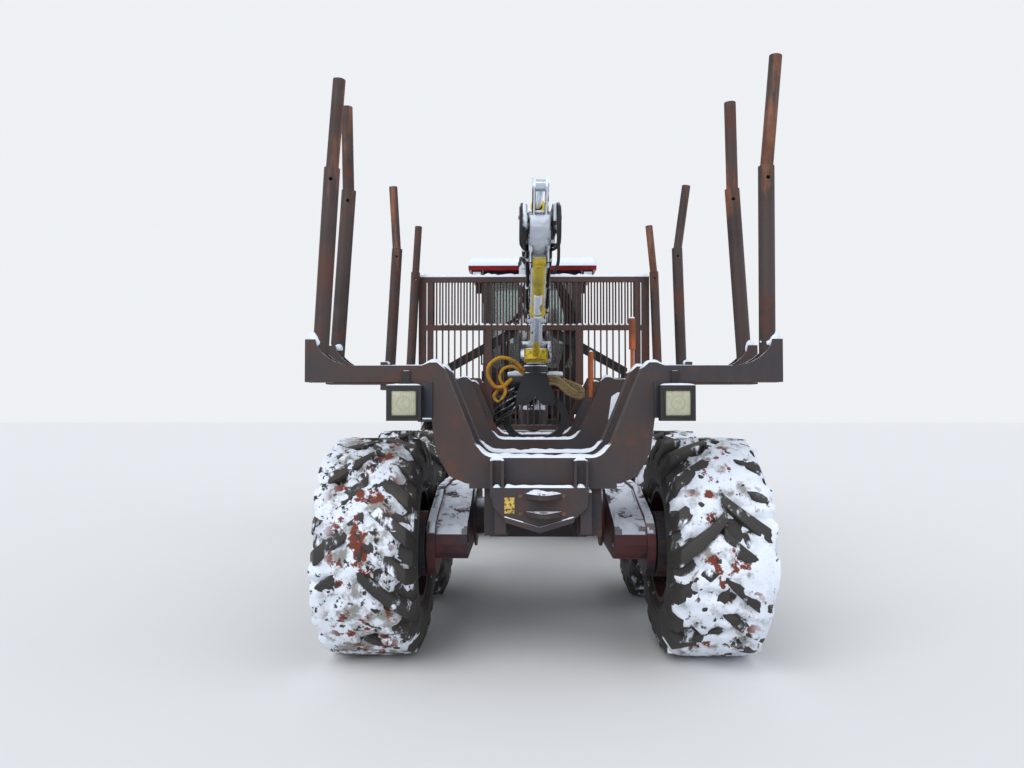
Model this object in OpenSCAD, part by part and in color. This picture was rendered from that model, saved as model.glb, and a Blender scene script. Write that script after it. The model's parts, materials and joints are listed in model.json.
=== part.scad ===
// Forestry forwarder: two frames hinged in the middle, six wheels and a knuckle boom loader.
// Millimetres. +Y is the way it drives, +X its right side, +Z is up and the ground is at zero.

/* [Wheels] */
// Outside diameter of a rear tyre
rear_tyre_d = 1330; // [1280:5:1340]
// Width of a rear tyre
rear_tyre_w = 600; // [520:5:604]
// Outside diameter of a front tyre
front_tyre_d = 1580; // [1500:5:1600]
// Width of a front tyre
front_tyre_w = 680; // [600:5:690]
// Diameter of the rim under the tyre beads
rim_d = 675; // [600:5:720]
// Distance from the middle of the machine to the middle of a rear tyre
rear_wheel_x = 1000; // [995:5:1050]
// Distance from the middle of the machine to the middle of a front tyre
front_wheel_x = 955; // [950:5:1000]
// Number of lugs on each half of a tread
lugs = 15; // [12:1:16]
// Height of a tread lug
lug_h = 38; // [25:1:45]

/* [Rear frame] */
// Distance between the two axles of a bogie
bogie_base = 1420; // [1400:5:1460]
// Height of the bogie pivot
bogie_pivot_z = 740; // [720:5:760]
// Height of the top of the rear frame
frame_top = 1077; // [1060:1:1090]
// Distance from the middle to the outside of a frame beam
frame_half_w = 320; // [300:5:330]
// Width of a frame beam
beam_w = 130; // [100:5:150]
// Depth of a frame beam
beam_h = 260; // [220:5:270]
// Length from the bogie pivot back to the tip of the hitch tongue
hitch_reach = 1540; // [1530:5:1580]
// Diameter of the hitch pin hole
hitch_bore_d = 50; // [40:1:60]

/* [Load space] */
// Depth of a bunk along the machine
bunk_depth = 130; // [120:1:140]
// Thickness of a bunk's two face plates
bunk_plate = 12; // [8:1:16]
// Distance from the middle to the tip of a bunk's arm
bunk_half_w = 1300; // [1295:1:1310]
// Height of the floor of a bunk
bunk_floor = 1243; // [1220:1:1260]
// Height of the top of a bunk's arm
bunk_arm_z = 1745; // [1740:1:1760]
// Diameter of the lower tube of a stake
stake_d = 88; // [80:1:92]
// Diameter of the upper tube of a stake
stake_top_d = 70; // [60:1:76]
// Height of the top rail of the gate
gate_top = 2815; // [2780:5:2825]
// Distance from the middle to the outside of the gate
gate_half_w = 1155; // [1140:1:1160]
// Distance between two bars of the gate
gate_pitch = 61; // [55:1:70]

/* [Front frame] */
// Length from the bogie pivot to the joint between the frames
joint_ahead = 2890; // [2860:5:2920]
// Height of the joint between the frames
joint_z = 900; // [880:5:920]
// Length from the bogie pivot to the front axle
front_axle_ahead = 3740; // [3730:5:3780]
// Length from the bogie pivot to the front of the guard
front_reach = 5940; // [5920:5:6000]

/* [Cab] */
// Width of the cab
cab_w = 1140; // [1100:5:1150]
// Height of the cab floor
cab_floor = 1420; // [1410:5:1440]
// Height of the underside of the roof
cab_top = 3080; // [3040:5:3100]
// Thickness of the cab walls and the door
cab_wall = 40; // [30:1:50]

/* [Loader] */
// Length from the bogie pivot to the slewing pillar
pillar_ahead = 2590; // [2580:5:2600]
// Width of the loader pillar, a box section
pillar_w = 300; // [280:5:310]
// Height of the main boom's pivot
boom_pivot_z = 3020; // [3010:5:3040]
// Length of the main boom between its pins
boom_len = 3300; // [3280:5:3320]
// How far the parked boom slopes down to the rear, in degrees
boom_slope = 5.2; // [5:0.1:5.5]
// Length of the jib from its pin to the grapple's pin, as parked
jib_len = 2140; // [2120:5:2160]
// How far the parked jib slopes down to the front, in degrees
jib_slope = 21; // [20.5:0.1:21.5]

/* [Hidden] */

// Places along the machine. The box around the machine has its middle at y = 0.
bogie_y = (hitch_reach - front_reach) / 2;
rear_end = bogie_y - hitch_reach;
front_end = bogie_y + front_reach;
joint_y = bogie_y + joint_ahead;
front_axle_y = bogie_y + front_axle_ahead;
pillar_y = bogie_y + pillar_ahead;
rear_wheel_z = rear_tyre_d / 2;
front_wheel_z = front_tyre_d / 2;
run_gap = 0.3;

// Bunks from the rear, by their distance ahead of the bogie pivot
bunk_ahead = [-1310, -860, 920, 2070];
gate_t = 50;
gate_y = bogie_y + bunk_ahead[3] + bunk_depth / 2 + gate_t / 2;

// Stakes. Columns: bunk, side, x at the foot, x at the top of the lower tube, x and z of the tip
STAKES = [
  [0, -1, 1226, 1173, 1136, 3350], [0, 1, 1236, 1239, 1297, 3470],
  [1, -1, 1242, 1181, 1197, 3370], [1, 1, 1232, 1172, 1163, 3385],
  [2, -1, 1227, 1174, 1210, 3380], [2, 1, 1220, 1191, 1271, 3380],
  [3, -1, 1224, 1178, 1150, 3310], [3, 1, 1222, 1191, 1144, 3310]];
stake_foot_z = 1900;
stake_mid_z = 2850;

function mirrored(pts) = concat(pts, [for (i = [len(pts) - 1:-1:0]) [-pts[i][0], pts[i][1]]]);
function arc(cx, cz, r, a0, a1, n) =
  [for (i = [0:n]) [cx + r * cos(a0 + (a1 - a0) * i / n), cz + r * sin(a0 + (a1 - a0) * i / n)]];

// A plate across the machine: outline of x and z, from y0 to y1
module face_plate(pts, y0, y1) {
  translate([0, y1, 0]) rotate([90, 0, 0]) linear_extrude(y1 - y0) polygon(pts);
}

// A plate along the machine: outline of y and z, from x0 to x1
module side_plate(pts, x0, x1) {
  translate([x0, 0, 0]) rotate([90, 0, 90]) linear_extrude(x1 - x0) polygon(pts);
}

// A block between two corners
module block(a, b) {
  translate(a) cube(b - a);
}

// A round bar from one point to another
module bar(p, q, d) {
  v = q - p;
  translate(p) rotate([0, acos(v.z / norm(v)), atan2(v.y, v.x)]) cylinder(d = d, h = norm(v), $fn = 32);
}

// A round bar across the machine
module cross_pin(x0, x1, y, z, d) {
  translate([x0, y, z]) rotate([0, 90, 0]) cylinder(d = d, h = x1 - x0, $fn = 48);
}

module both_sides() {
  children();
  mirror([1, 0, 0]) children();
}

// Tyres and rims, drawn on an axle along x with the outside of the wheel towards +x
tyre_sides = 28;
tread_share = 0.9;
lug_share = 0.44;
lug_flank = 0.05;
lug_twist = 13;
shoulder_scale = 0.955;

function tread_outline(r_low, r_high) = [for (i = [0:lugs - 1], k = [0:3])
  let (a = 360 / lugs * (i + [0, lug_flank, lug_flank + lug_share, 2 * lug_flank + lug_share][k]),
       r = (k == 1 || k == 2) ? r_high : r_low) [r * cos(a), r * sin(a)]];

module tyre(d, w) {
  tread_w = tread_share * w;
  groove_r = d / 2 - lug_h;
  wall_r = groove_r * shoulder_scale - 6;
  color("dimgray") rotate([0, 90, 0]) difference() {
    union() {
      hull() {
        cylinder(r = wall_r, h = tread_w + 2, center = true, $fn = tyre_sides);
        cylinder(r = (wall_r + rim_d / 2) / 2 + 20, h = w, center = true, $fn = tyre_sides);
        cylinder(r = rim_d / 2 + 28, h = 0.84 * w, center = true, $fn = tyre_sides);
      }
      linear_extrude(tread_w / 2, twist = lug_twist, scale = shoulder_scale, slices = 1)
        polygon(tread_outline(groove_r, d / 2));
      rotate([0, 0, 180 / lugs]) mirror([0, 0, 1])
        linear_extrude(tread_w / 2, twist = lug_twist, scale = shoulder_scale, slices = 1)
          polygon(tread_outline(groove_r, d / 2));
    }
    cylinder(r = rim_d / 2 + run_gap, h = w + 2, center = true, $fn = 64);
    for (s = [0, 1]) mirror([0, 0, s]) translate([0, 0, 0.42 * w])
      cylinder(r1 = rim_d / 2 + 26, r2 = (wall_r + rim_d / 2) / 2 + 4, h = 0.08 * w + 0.1, $fn = 64);
  }
}

rim_t = 14;
rim_flange = 16;
hub_d = 400;

// hub_in is how far the hub's face lies inboard of the tyre's middle
module rim(w, hub_in) {
  r = rim_d / 2;
  half = 0.42 * w;
  color("maroon") rotate([0, 90, 0]) rotate_extrude($fn = 64) polygon([
    [0, -hub_in], [hub_d / 2, -hub_in], [hub_d / 2, -40], [r - rim_t - 60, -30], [r - rim_t, -60],
    [r - rim_t, -half - 12], [r + rim_flange, -half - 12], [r + rim_flange, -half - run_gap],
    [r, -half - run_gap], [r, half + run_gap], [r + rim_flange, half + run_gap],
    [r + rim_flange, half + 12], [r - rim_t, half + 12], [r - rim_t, -20],
    [r - rim_t - 60, 10], [hub_d / 2 + 20, 0], [hub_d / 2 - 20, 0], [hub_d / 2 - 60, 60], [110, 80],
    [90, 110], [0, 110]]);
}

// Rear frame: two box beams with cross members, narrowing to the joint
beam_in = frame_half_w - beam_w;
frame_rear = rear_end + 200;
neck_start = pillar_y - 330;
roll_tube_d = 300;
roll_y0 = joint_y - 140;

module rear_frame() {
  color("black") {
    both_sides() block([beam_in, frame_rear, frame_top - beam_h], [frame_half_w, neck_start + 20,
      frame_top]);
    for (ahead = [-1120, -420, 300, 1100, 1700])
      block([-beam_in, bogie_y + ahead, frame_top - beam_h + 40], [beam_in, bogie_y + ahead + 90,
        frame_top - 20]);
    block([-frame_half_w, neck_start, frame_top - beam_h], [frame_half_w, roll_y0 - 40, frame_top]);
    hull() {
      block([-frame_half_w, roll_y0 - 60, frame_top - beam_h], [frame_half_w, roll_y0 - 40, frame_top]);
      block([-190, roll_y0 - 20, frame_top - beam_h], [190, roll_y0, frame_top]);
    }
    translate([0, roll_y0, joint_z]) rotate([90, 0, 0]) cylinder(d = roll_tube_d + 50, h = 60, $fn = 48);
  }
}

// Rear axle: a beam under the frame with a trunnion for each bogie
bogie_in = 450;
bogie_out = 690;
trunnion_d = 260;

module rear_axle() {
  color("black") difference() {
    union() {
      block([-frame_half_w - 20, bogie_y - 150, bogie_pivot_z - 130], [frame_half_w + 20,
        bogie_y + 150, frame_top - beam_h]);
      both_sides() cross_pin(frame_half_w + 10, bogie_in - run_gap, bogie_y, bogie_pivot_z, trunnion_d);
      both_sides() block([frame_half_w - 90, bogie_y - 210, frame_top - beam_h - 30],
        [frame_half_w + 20, bogie_y + 210, frame_top - beam_h]);
    }
  }
}

// Rear end plate with its tow hitch
plate_y = rear_end + 98;
tongue_r = 42;
plate_t = 30;
hitch_z = [1045, 950];
tongue_t = 26;
bunk_rear = bogie_y + bunk_ahead[0] - bunk_depth / 2;

module tongue(z) {
  translate([0, 0, z - tongue_t / 2]) linear_extrude(tongue_t) difference() {
    hull() {
      translate([-100, plate_y - 1]) square([200, 3]);
      translate([0, rear_end + tongue_r]) circle(r = tongue_r, $fn = 48);
    }
    translate([0, rear_end + tongue_r]) circle(d = hitch_bore_d, $fn = 48);
  }
}

module rear_bumper() {
  color([0.30, 0.16, 0.14]) {
    difference() {
      union() {
        face_plate([[-285, 1088], [-265, 985], [-200, 915], [-20, 860], [160, 915], [235, 985], [244,
          1088]],
          plate_y, plate_y + plate_t);
        face_plate([[-210, 935], [-200, 905], [-20, 850], [160, 905], [170, 935], [-20, 880]],
          plate_y - 14, plate_y + 1);
        both_sides() block([beam_in + 10, plate_y + plate_t - 1, frame_top - beam_h + 20],
          [frame_half_w - 60, frame_rear, 1060]);
      }
    }
    for (x = [-285, 165]) difference() {
      block([x, plate_y, 1040], [x + 75, bunk_rear - run_gap, 1232]);
      block([x + 14, plate_y - 1, 1089], [x + 61, plate_y + 40, 1233]);
    }
    for (z = hitch_z) tongue(z);
  }
}

// Bunks: two shaped plates with a boxed core between them, standing on the frame
outer_corner = [[420, 1105], [510, 1144], [583, 1280], [605, 1450], [627, 1600]];
core_inset = 22;
arm_z0 = 1655;
socket_in = 1165;

function bunk_outline(e) = mirrored(concat(
  [[0, frame_top + e], [outer_corner[0][0] - e / 4, outer_corner[0][1] + e]],
  [for (k = [1:3]) [outer_corner[k][0] - e, outer_corner[k][1] + e / 2]],
  [[627 - e, 1600 + e / 2], [705, arm_z0 + e], [bunk_half_w, arm_z0 + e],
   [bunk_half_w, 1889], [1245, 1889]],
  arc(1035, 1985 - e, 240, -32, -88, 5),
  [[660, bunk_arm_z - e / 2], [618, 1762], [578, 1762], [540, 1730], [372, 1318]],
  arc(262, 1343, 100, -30, -90, 4)));

module bunk(y) {
  for (s = [-1, 1]) face_plate(bunk_outline(0), y + s * (bunk_depth - bunk_plate) / 2 - bunk_plate / 2,
    y + s * (bunk_depth - bunk_plate) / 2 + bunk_plate / 2);
  intersection() {
    face_plate(bunk_outline(core_inset), y - bunk_depth / 2 + 1, y + bunk_depth / 2 - 1);
    block([-socket_in, y - bunk_depth, 1000], [socket_in, y + bunk_depth, 2000]);
  }
  block([-400, y - bunk_depth / 2 + 1, frame_top], [400, y + bunk_depth / 2 - 1,
    frame_top + core_inset + 2]);
  both_sides() {
    block([socket_in - 1, y - bunk_depth / 2 + 1, arm_z0], [bunk_half_w, y + bunk_depth / 2 - 1,
      arm_z0 + 20]);
  }
}

module bunks() {
  color([0.19, 0.14, 0.13]) for (a = bunk_ahead) bunk(bogie_y + a);
}

// Stakes: a tube held between the plates of a bunk's arm, with a thinner tube worn inside it
module stakes() {
  color([0.20, 0.14, 0.13]) for (s = STAKES) {
    y = bogie_y + bunk_ahead[s[0]];
    slope = (s[3] - s[2]) / (stake_mid_z - stake_foot_z);
    foot_z = arm_z0 + 20 + run_gap + abs(slope) * stake_d / 2;
    foot = [s[1] * (s[2] + slope * (foot_z - stake_foot_z)), y, foot_z];
    mid = [s[1] * s[3], y, stake_mid_z];
    difference() {
      bar(foot, mid, stake_d);
      translate([s[1] * (s[3] - 3), y - stake_d, stake_mid_z - 70]) rotate([-90, 0, 0])
        cylinder(d = 22, h = 2 * stake_d, $fn = 24);
    }
    bar([s[1] * (s[3] - slope * 30), y, stake_mid_z - 30], [s[1] * s[4], y, s[5]], stake_top_d);
  }
}

// Gate between the load and the loader: frame tubes with upright bars, lower at the middle
gate_foot = 1750;
rail_h = 50;
post_w = 73;
gate_bar = 15;
gate_mid_z = 2305;

module gate() {
  bars = floor((gate_half_w - post_w) / gate_pitch);
  color([0.24, 0.16, 0.14]) {
    for (z = [gate_top - rail_h, gate_mid_z - rail_h / 2])
      block([-gate_half_w, gate_y - gate_t / 2, z], [gate_half_w, gate_y + gate_t / 2, z + rail_h]);
    face_plate(mirrored([[0, 1280], [330, 1280], [560, gate_foot], [gate_half_w, gate_foot],
      [gate_half_w, gate_foot + rail_h], [535, gate_foot + rail_h], [300, 1330], [0, 1330]]),
      gate_y - gate_t / 2, gate_y + gate_t / 2);
    both_sides() {
      block([gate_half_w - post_w, gate_y - gate_t / 2, gate_foot], [gate_half_w, gate_y + gate_t / 2,
        gate_top]);
      block([1010, gate_y - gate_t / 2 + 1, gate_foot], [1068, gate_y + gate_t / 2 - 1, gate_top - 5]);
      block([420, gate_y - gate_t / 2, bunk_arm_z - 300], [480, gate_y + gate_t / 2, gate_mid_z]);
    }
    for (i = [-bars:bars]) let (x = i * gate_pitch, low = abs(x) < 380 ? 1300 : (abs(x)
      < 560 ? gate_foot - 20 : gate_foot + 10))
      block([x - gate_bar / 2, gate_y - 18, low], [x + gate_bar / 2, gate_y - 4, gate_top - 10]);
    for (i = [-bars:bars - 1]) let (x = (i + 0.5) * gate_pitch)
      block([x - gate_bar / 2, gate_y + 5, gate_mid_z], [x + gate_bar / 2, gate_y + 18, gate_top - 10]);
  }
}

// Black stays from the loader's foot up to the gate
module gate_stays() {
  y0 = gate_y + gate_t / 2;
  color([0.08, 0.08, 0.09]) {
    both_sides() face_plate([[170, 2230], [900, 1830], [940, 1870], [940, 1900], [220, 2310], [170,
      2290]], y0, y0 + 50);
    both_sides() block([880, y0, gate_foot - 20], [950, y0 + 50, 1850]);
  }
}

// Work lamps under the arms of the rear bunk, and the two posts on a bunk's arm
LAMPS = [[-746, 1540], [716, 1540]];
lamp_size = [185, 75, 190];

module work_lamps() {
  y = bunk_rear - run_gap;
  color([0.5, 0.5, 0.45]) for (p = LAMPS) {
    difference() {
      block([p.x - lamp_size.x / 2, y - lamp_size.y - 12, p.y - lamp_size.z / 2],
        [p.x + lamp_size.x / 2, y - 12, p.y + lamp_size.z / 2]);
      block([p.x - 68, y - lamp_size.y - 13, p.y - 68], [p.x + 68, y - lamp_size.y, p.y + 68]);
    }
    block([p.x - 22, y - 13, p.y - 60], [p.x + 22, y, arm_z0 + 60]);
  }
}

// Columns: x, height of the top, diameter of the top and of the foot, height of the foot
POSTS = [[464, 1976, 42, 41, 1318 + (464 + 21 - 372) * 412 / 168 + run_gap],
  [810, 2257, 55, 31, bunk_arm_z - 15 + run_gap]];

module marker_posts() {
  y = bogie_y + bunk_ahead[2];
  color([0.67, 0.31, 0.14]) for (p = POSTS) translate([p[0], y, 0]) {
    translate([0, 0, p[4]]) cylinder(d = p[3], h = p[1] - p[4], $fn = 32);
    translate([0, 0, p[1] - 260]) cylinder(d = p[2], h = 260, $fn = 32);
  }
}

// Loader foot on the rear frame, with the two cylinders that turn its pillar
foot_top = 1480;

module loader_base() {
  color([0.10, 0.10, 0.11]) {
    block([-290, pillar_y - 190, frame_top], [290, pillar_y + 150, frame_top + 38]);
    translate([0, pillar_y, frame_top + 37]) cylinder(d = 310, h = foot_top - frame_top - 37, $fn = 64);
    for (s = [-1, 1]) cross_pin(-330, 330, pillar_y + s * 118, 1225, 96);
    both_sides() side_plate([[pillar_y - 40, frame_top + 37], [pillar_y + 40, frame_top + 37],
      [pillar_y + 12, 1380], [pillar_y - 12, 1380]], 120, 240);
  }
}

// Bogies: a geared arm on each side that carries two wheels
hub_r = 195;

module bogie() {
  half = bogie_base / 2;
  dz = bogie_pivot_z - rear_wheel_z;
  color([0.27, 0.11, 0.11]) translate([0, bogie_y, bogie_pivot_z]) {
    side_plate(concat(
      arc(-half, -dz, hub_r, 285, 110, 8), [[-430, 190], [-300, 235], [300, 235], [430, 190]],
      arc(half, -dz, hub_r, 70, -105, 8), [[300, -190], [-300, -190]]), 640, bogie_out);
    difference() {
      side_plate(concat(
        arc(-half - 40, -dz + 30, 118, 270, 100, 6), [[-420, 165], [-280, 215], [280, 215], [420, 165]],
        arc(half + 40, -dz + 30, 118, 80, -90, 6), [[280, -165], [-280, -165]]), bogie_in, 641);
      cross_pin(bogie_in - 1, bogie_in + 60, -half - 40, -dz + 30, 90);
      cross_pin(bogie_in - 1, bogie_in + 60, half + 40, -dz + 30, 90);
    }
    for (s = [-1, 1]) cross_pin(bogie_out - 1, bogie_out + 12, s * half, -dz, 300);
    cross_pin(bogie_in - 14 + run_gap, bogie_in + 1, 0, 0, 430);
  }
}

module bogie_left() { mirror([1, 0, 0]) bogie_right(); }

module bogie_right() {
  difference() {
    bogie();
    cross_pin(bogie_in - 20, bogie_in + run_gap, bogie_y, bogie_pivot_z, trunnion_d + 2 * run_gap);
  }
}

// Wheels. Places: distance ahead of the bogie pivot
back_y = bogie_y - bogie_base / 2;
mid_y = bogie_y + bogie_base / 2;
rear_hub_in = rear_wheel_x - bogie_out - 12 - run_gap;
front_axle_half = 560;
front_hub_in = front_wheel_x - front_axle_half - run_gap;

module at_rear(y) { translate([rear_wheel_x, y, rear_wheel_z]) children(); }
module at_front() { translate([front_wheel_x, front_axle_y, front_wheel_z]) children(); }

module tyre_back_right() { at_rear(back_y) tyre(rear_tyre_d, rear_tyre_w); }
module tyre_mid_right() { at_rear(mid_y) tyre(rear_tyre_d, rear_tyre_w); }
module tyre_front_right() { at_front() tyre(front_tyre_d, front_tyre_w); }
module rim_back_right() { at_rear(back_y) rim(rear_tyre_w, rear_hub_in); }
module rim_mid_right() { at_rear(mid_y) rim(rear_tyre_w, rear_hub_in); }
module rim_front_right() { at_front() rim(front_tyre_w, front_hub_in); }

// Joint between the frames: a barrel that rolls in the rear frame and carries the upright steering pin
pin_d = 110;

module centre_joint() {
  color([0.13, 0.13, 0.14]) {
    difference() {
      union() {
        translate([0, joint_y + 90, joint_z]) rotate([90, 0, 0]) cylinder(d = roll_tube_d,
          h = joint_y + 90 - roll_y0 - run_gap, $fn = 64);
        translate([0, joint_y, joint_z - 120]) cylinder(d = 220, h = 240, $fn = 64);
      }
      translate([0, joint_y - 130, joint_z + 120]) rotate([-25, 0, 0]) translate([-200, 0, 0])
        cube([400, 300, 200]);
    }
    translate([0, joint_y, joint_z - 205]) cylinder(d = pin_d, h = 410, $fn = 64);
  }
}

// Front frame with forks round the steering pin, the deck under the cab and the step
deck_z = 1300;
fork_gap = 152;
fork_t = 46;

axle_d = 230;

// Hinge line of the hood, as y and z
hood_hinge = [front_end - 35, 1100];

module front_frame() {
  color([0.13, 0.12, 0.12]) {
    for (z = [joint_z - fork_gap - fork_t, joint_z + fork_gap]) translate([0, 0, z]) linear_extrude(fork_t)
      difference() {
        union() {
          translate([0, joint_y]) circle(d = 260, $fn = 64);
          polygon([[-130, joint_y], [130, joint_y], [300, joint_y + 420], [-300, joint_y + 420]]);
        }
        translate([0, joint_y]) circle(d = pin_d + 0.1, $fn = 64);
      }
    both_sides() difference() {
      block([200, joint_y + 330, joint_z - fork_gap - fork_t], [330, front_end - 59,
        joint_z + fork_gap + fork_t]);
      cross_pin(190, 340, front_axle_y, front_wheel_z, axle_d + 2 * run_gap);
    }
    block([-520, front_end - 60, joint_z - 250], [520, front_end, joint_z + 170]);
    both_sides() {
      block([340, front_end - 55, joint_z + 169], [374, front_end - 15, hood_hinge.y]);
      cross_pin(340, 374, hood_hinge.x, hood_hinge.y, hood_knuckle_d);
    }
    for (y = [joint_y + 380, front_axle_y + 560, front_end - 170])
      block([-201, y, joint_z - fork_gap - fork_t], [201, y + 80, joint_z + fork_gap + fork_t]);
    both_sides() for (y = [joint_y + 480, front_axle_y + 560])
      block([230, y, joint_z + fork_gap + fork_t - 1], [300, y + 80, cab_floor - run_gap]);
    both_sides() difference() {
      block([329, front_axle_y + 870, 520], [760, front_axle_y + 1180, 940]);
      block([380, front_axle_y + 860, 570], [800, front_axle_y + 1130, 700]);
      block([380, front_axle_y + 860, 750], [800, front_axle_y + 1130, 890]);
    }
  }
}

module front_axle() {
  color([0.13, 0.13, 0.14]) {
    cross_pin(-front_axle_half, front_axle_half, front_axle_y, front_wheel_z, axle_d);
    both_sides() cross_pin(front_axle_half - 90, front_axle_half, front_axle_y, front_wheel_z, 420);
    translate([0, front_axle_y, front_wheel_z]) sphere(d = 380, $fn = 48);
    block([-199, front_axle_y - 120, front_wheel_z + 90], [199, front_axle_y + 120,
      joint_z + fork_gap + fork_t]);
  }
}

// Engine, as one block on the front frame
hood_y0 = front_axle_y + 760;
hood_half_w = 560;
hood_z0 = 1160;
hood_top = 2230;

module engine() {
  color([0.35, 0.35, 0.36])
    block([-260, hood_y0 + 120, joint_z + fork_gap + fork_t], [260, front_end - 330, 1830]);
}

// Hood: a shell over the engine with an open grille, which tips forwards
hood_t = 25;
hood_y1 = front_end - 110;

module hood_side(e) {
  side_plate([[hood_y0 - e, hood_z0 - 2 * e], [hood_y0 - e, hood_top - e], [hood_y0 + 350,
    hood_top - e], [hood_y1 - 260, 2060 - e],
    [hood_y1 - 60 - e, 1950 - e], [hood_y1 - e, 1760], [hood_y1 - e, hood_z0 - 2 * e]],
      -hood_half_w + e, hood_half_w - e);
}

module hood() {
  color([0.45, 0.08, 0.10]) difference() {
    hood_side(0);
    hood_side(hood_t);
    for (i = [0:8]) block([-400, hood_y1 - 60, 1240 + 56 * i], [400, hood_y1 + 10, 1268 + 56 * i]);
    for (i = [0:5]) block([-hood_half_w - 5, hood_y0 + 420 + 80 * i, 1450], [hood_half_w + 5,
      hood_y0 + 460 + 80 * i, 1800]);
  }
}

// Cab shell: floor, posts and window frames, its door opening on the left side
cab_y0 = joint_y + 420;
cab_y1 = hood_y0 - 40;
cab_out = [[cab_y0 + 40, cab_floor], [cab_y0, 1900], [cab_y0 + 60, cab_top], [cab_y1 - 160, cab_top],
  [cab_y1, 2300], [cab_y1, 1780], [cab_y1 - 90, cab_floor]];
cab_in = [[cab_y0 + 40 + cab_wall, cab_floor + cab_wall], [cab_y0 + cab_wall, 1900],
  [cab_y0 + 60 + cab_wall, cab_top + 1], [cab_y1 - 160 - cab_wall, cab_top + 1],
  [cab_y1 - cab_wall, 2300 - 6], [cab_y1 - cab_wall, 1780 + 6], [cab_y1 - 90 - cab_wall,
    cab_floor + cab_wall]];
door_y0 = cab_y0 + 190;
door_y1 = cab_y1 - 230;
door_z0 = 1730;
door_z1 = cab_top - 90;
door_gap = 6;
door_hinges = [door_z0 + 120, door_z1 - 220];

module cab() {
  h = cab_w / 2;
  color([0.40, 0.07, 0.09]) for (z = door_hinges) {
    translate([-h - 14, door_y0 + 10, z - 40 - run_gap]) cylinder(d = 26, h = 40, $fn = 32);
    block([-h - 22, door_y0 - 50, z - 40 - run_gap], [-h - 6, door_y0 + 10, z - run_gap]);
    block([-h - 22, door_y0 - 50, z - 40 - run_gap], [-h + 1, door_y0 - 12, z - run_gap]);
  }
  color([0.40, 0.07, 0.09]) difference() {
    side_plate(cab_out, -h, h);
    side_plate(cab_in, -h + cab_wall, h - cab_wall);
    // rear, front and right windows, and the door opening
    block([-h + 110, cab_y0 - 20, 1960], [h - 110, cab_y0 + 130, cab_top - 90]);
    block([-h + 110, cab_y1 - 230, 2330], [h - 110, cab_y1 + 20, cab_top - 80]);
    block([h - cab_wall - 5, cab_y0 + 190, 1880], [h + 5, cab_y1 - 250, cab_top - 90]);
    block([-h - 5, door_y0, door_z0], [-h + cab_wall + 5, door_y1, door_z1]);
  }
}

module cab_roof() {
  color([0.42, 0.07, 0.09]) {
    side_plate([[cab_y0 - 60, cab_top + run_gap], [cab_y0 - 75, cab_top + 50], [cab_y0 + 10, cab_top + 118],
      [cab_y1 - 240, cab_top + 118], [cab_y1 - 40, cab_top + 60], [cab_y1 - 60, cab_top + run_gap]],
        -735, 735);
  }
}

glass_t = 6;

module cab_glass() {
  h = cab_w / 2;
  color([0.15, 0.2, 0.22, 0.5]) {
    side_plate([[cab_y0 + 12, 1960 + run_gap], [cab_y0 + 58, cab_top - 90 - run_gap],
      [cab_y0 + 58 + glass_t, cab_top - 90 - run_gap],
      [cab_y0 + 12 + glass_t, 1960 + run_gap]], -h + 110 + run_gap, h - 110 - run_gap);
    side_plate([[cab_y1 - 20 - glass_t, 2330 + run_gap], [cab_y1 - 158 - glass_t,
      cab_top - 80 - run_gap], [cab_y1 - 158, cab_top - 80 - run_gap],
      [cab_y1 - 20, 2330 + run_gap]], -h + 110 + run_gap, h - 110 - run_gap);
    block([h - 20, cab_y0 + 190 + run_gap, 1880 + run_gap], [h - 20 + glass_t, cab_y1 - 250 - run_gap,
      cab_top - 90 - run_gap]);
  }
}

module cab_door() {
  h = cab_w / 2;
  color([0.40, 0.07, 0.09]) difference() {
    union() {
      block([-h, door_y0 + door_gap, door_z0 + door_gap], [-h + cab_wall, door_y1 - door_gap,
        door_z1 - door_gap]);
      for (z = door_hinges) {
        translate([-h - 14, door_y0 + 10, z]) cylinder(d = 26, h = 80, $fn = 32);
        block([-h - 18, door_y0 + 10, z], [-h + 1, door_y0 + 60, z + 80]);
      }
      block([-h - 30, door_y1 - 120, 1780], [-h + 1, door_y1 - 90, 2060]);
    }
    block([-h - 5, door_y0 + 85, 1960], [-h + cab_wall + 5, door_y1 - 85, door_z1 - 85]);
    block([-h - 16, door_y1 - 121, 1810], [-h, door_y1 - 89, 2030]);
  }
}

module door_glass() {
  h = cab_w / 2;
  color([0.15, 0.2, 0.22, 0.5])
    block([-h + 14, door_y0 + 85 + run_gap, 1960 + run_gap], [-h + 14 + glass_t,
      door_y1 - 85 - run_gap, door_z1 - 85 - run_gap]);
}

module cab_seat() {
  floor_z = cab_floor + cab_wall;
  color([0.12, 0.12, 0.13]) {
    translate([0, cab_y0 + 480, floor_z]) cylinder(d = 240, h = 320, $fn = 48);
    block([-240, cab_y0 + 250, floor_z + 310], [240, cab_y0 + 730, floor_z + 450]);
    side_plate([[cab_y0 + 250, floor_z + 400], [cab_y0 + 370, floor_z + 400], [cab_y0 + 300,
      floor_z + 1060],
      [cab_y0 + 190, floor_z + 1060]], -230, 230);
    both_sides() block([239, cab_y0 + 330, floor_z + 400], [330, cab_y0 + 730, floor_z + 620]);
  }
}

// Fenders over the front wheels, as bent plates on two arms from the frame
fender_r = front_tyre_d / 2 + 65;
fender_t = 8;

module fenders() {
  color([0.13, 0.12, 0.12]) both_sides() {
    translate([cab_w / 2 + 30, front_axle_y, front_wheel_z]) rotate([90, 0, 90]) linear_extrude(690)
      polygon(concat(arc(0, 0, fender_r, 25, 140, 12), arc(0, 0, fender_r + fender_t, 140, 25, 12)));
    for (y = [front_axle_y - 40])
      block([cab_w / 2 + run_gap, y, front_wheel_z + fender_r - 2], [cab_w / 2 + 40, y + 80,
        front_wheel_z + fender_r + fender_t + 40]);
  }
}

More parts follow.
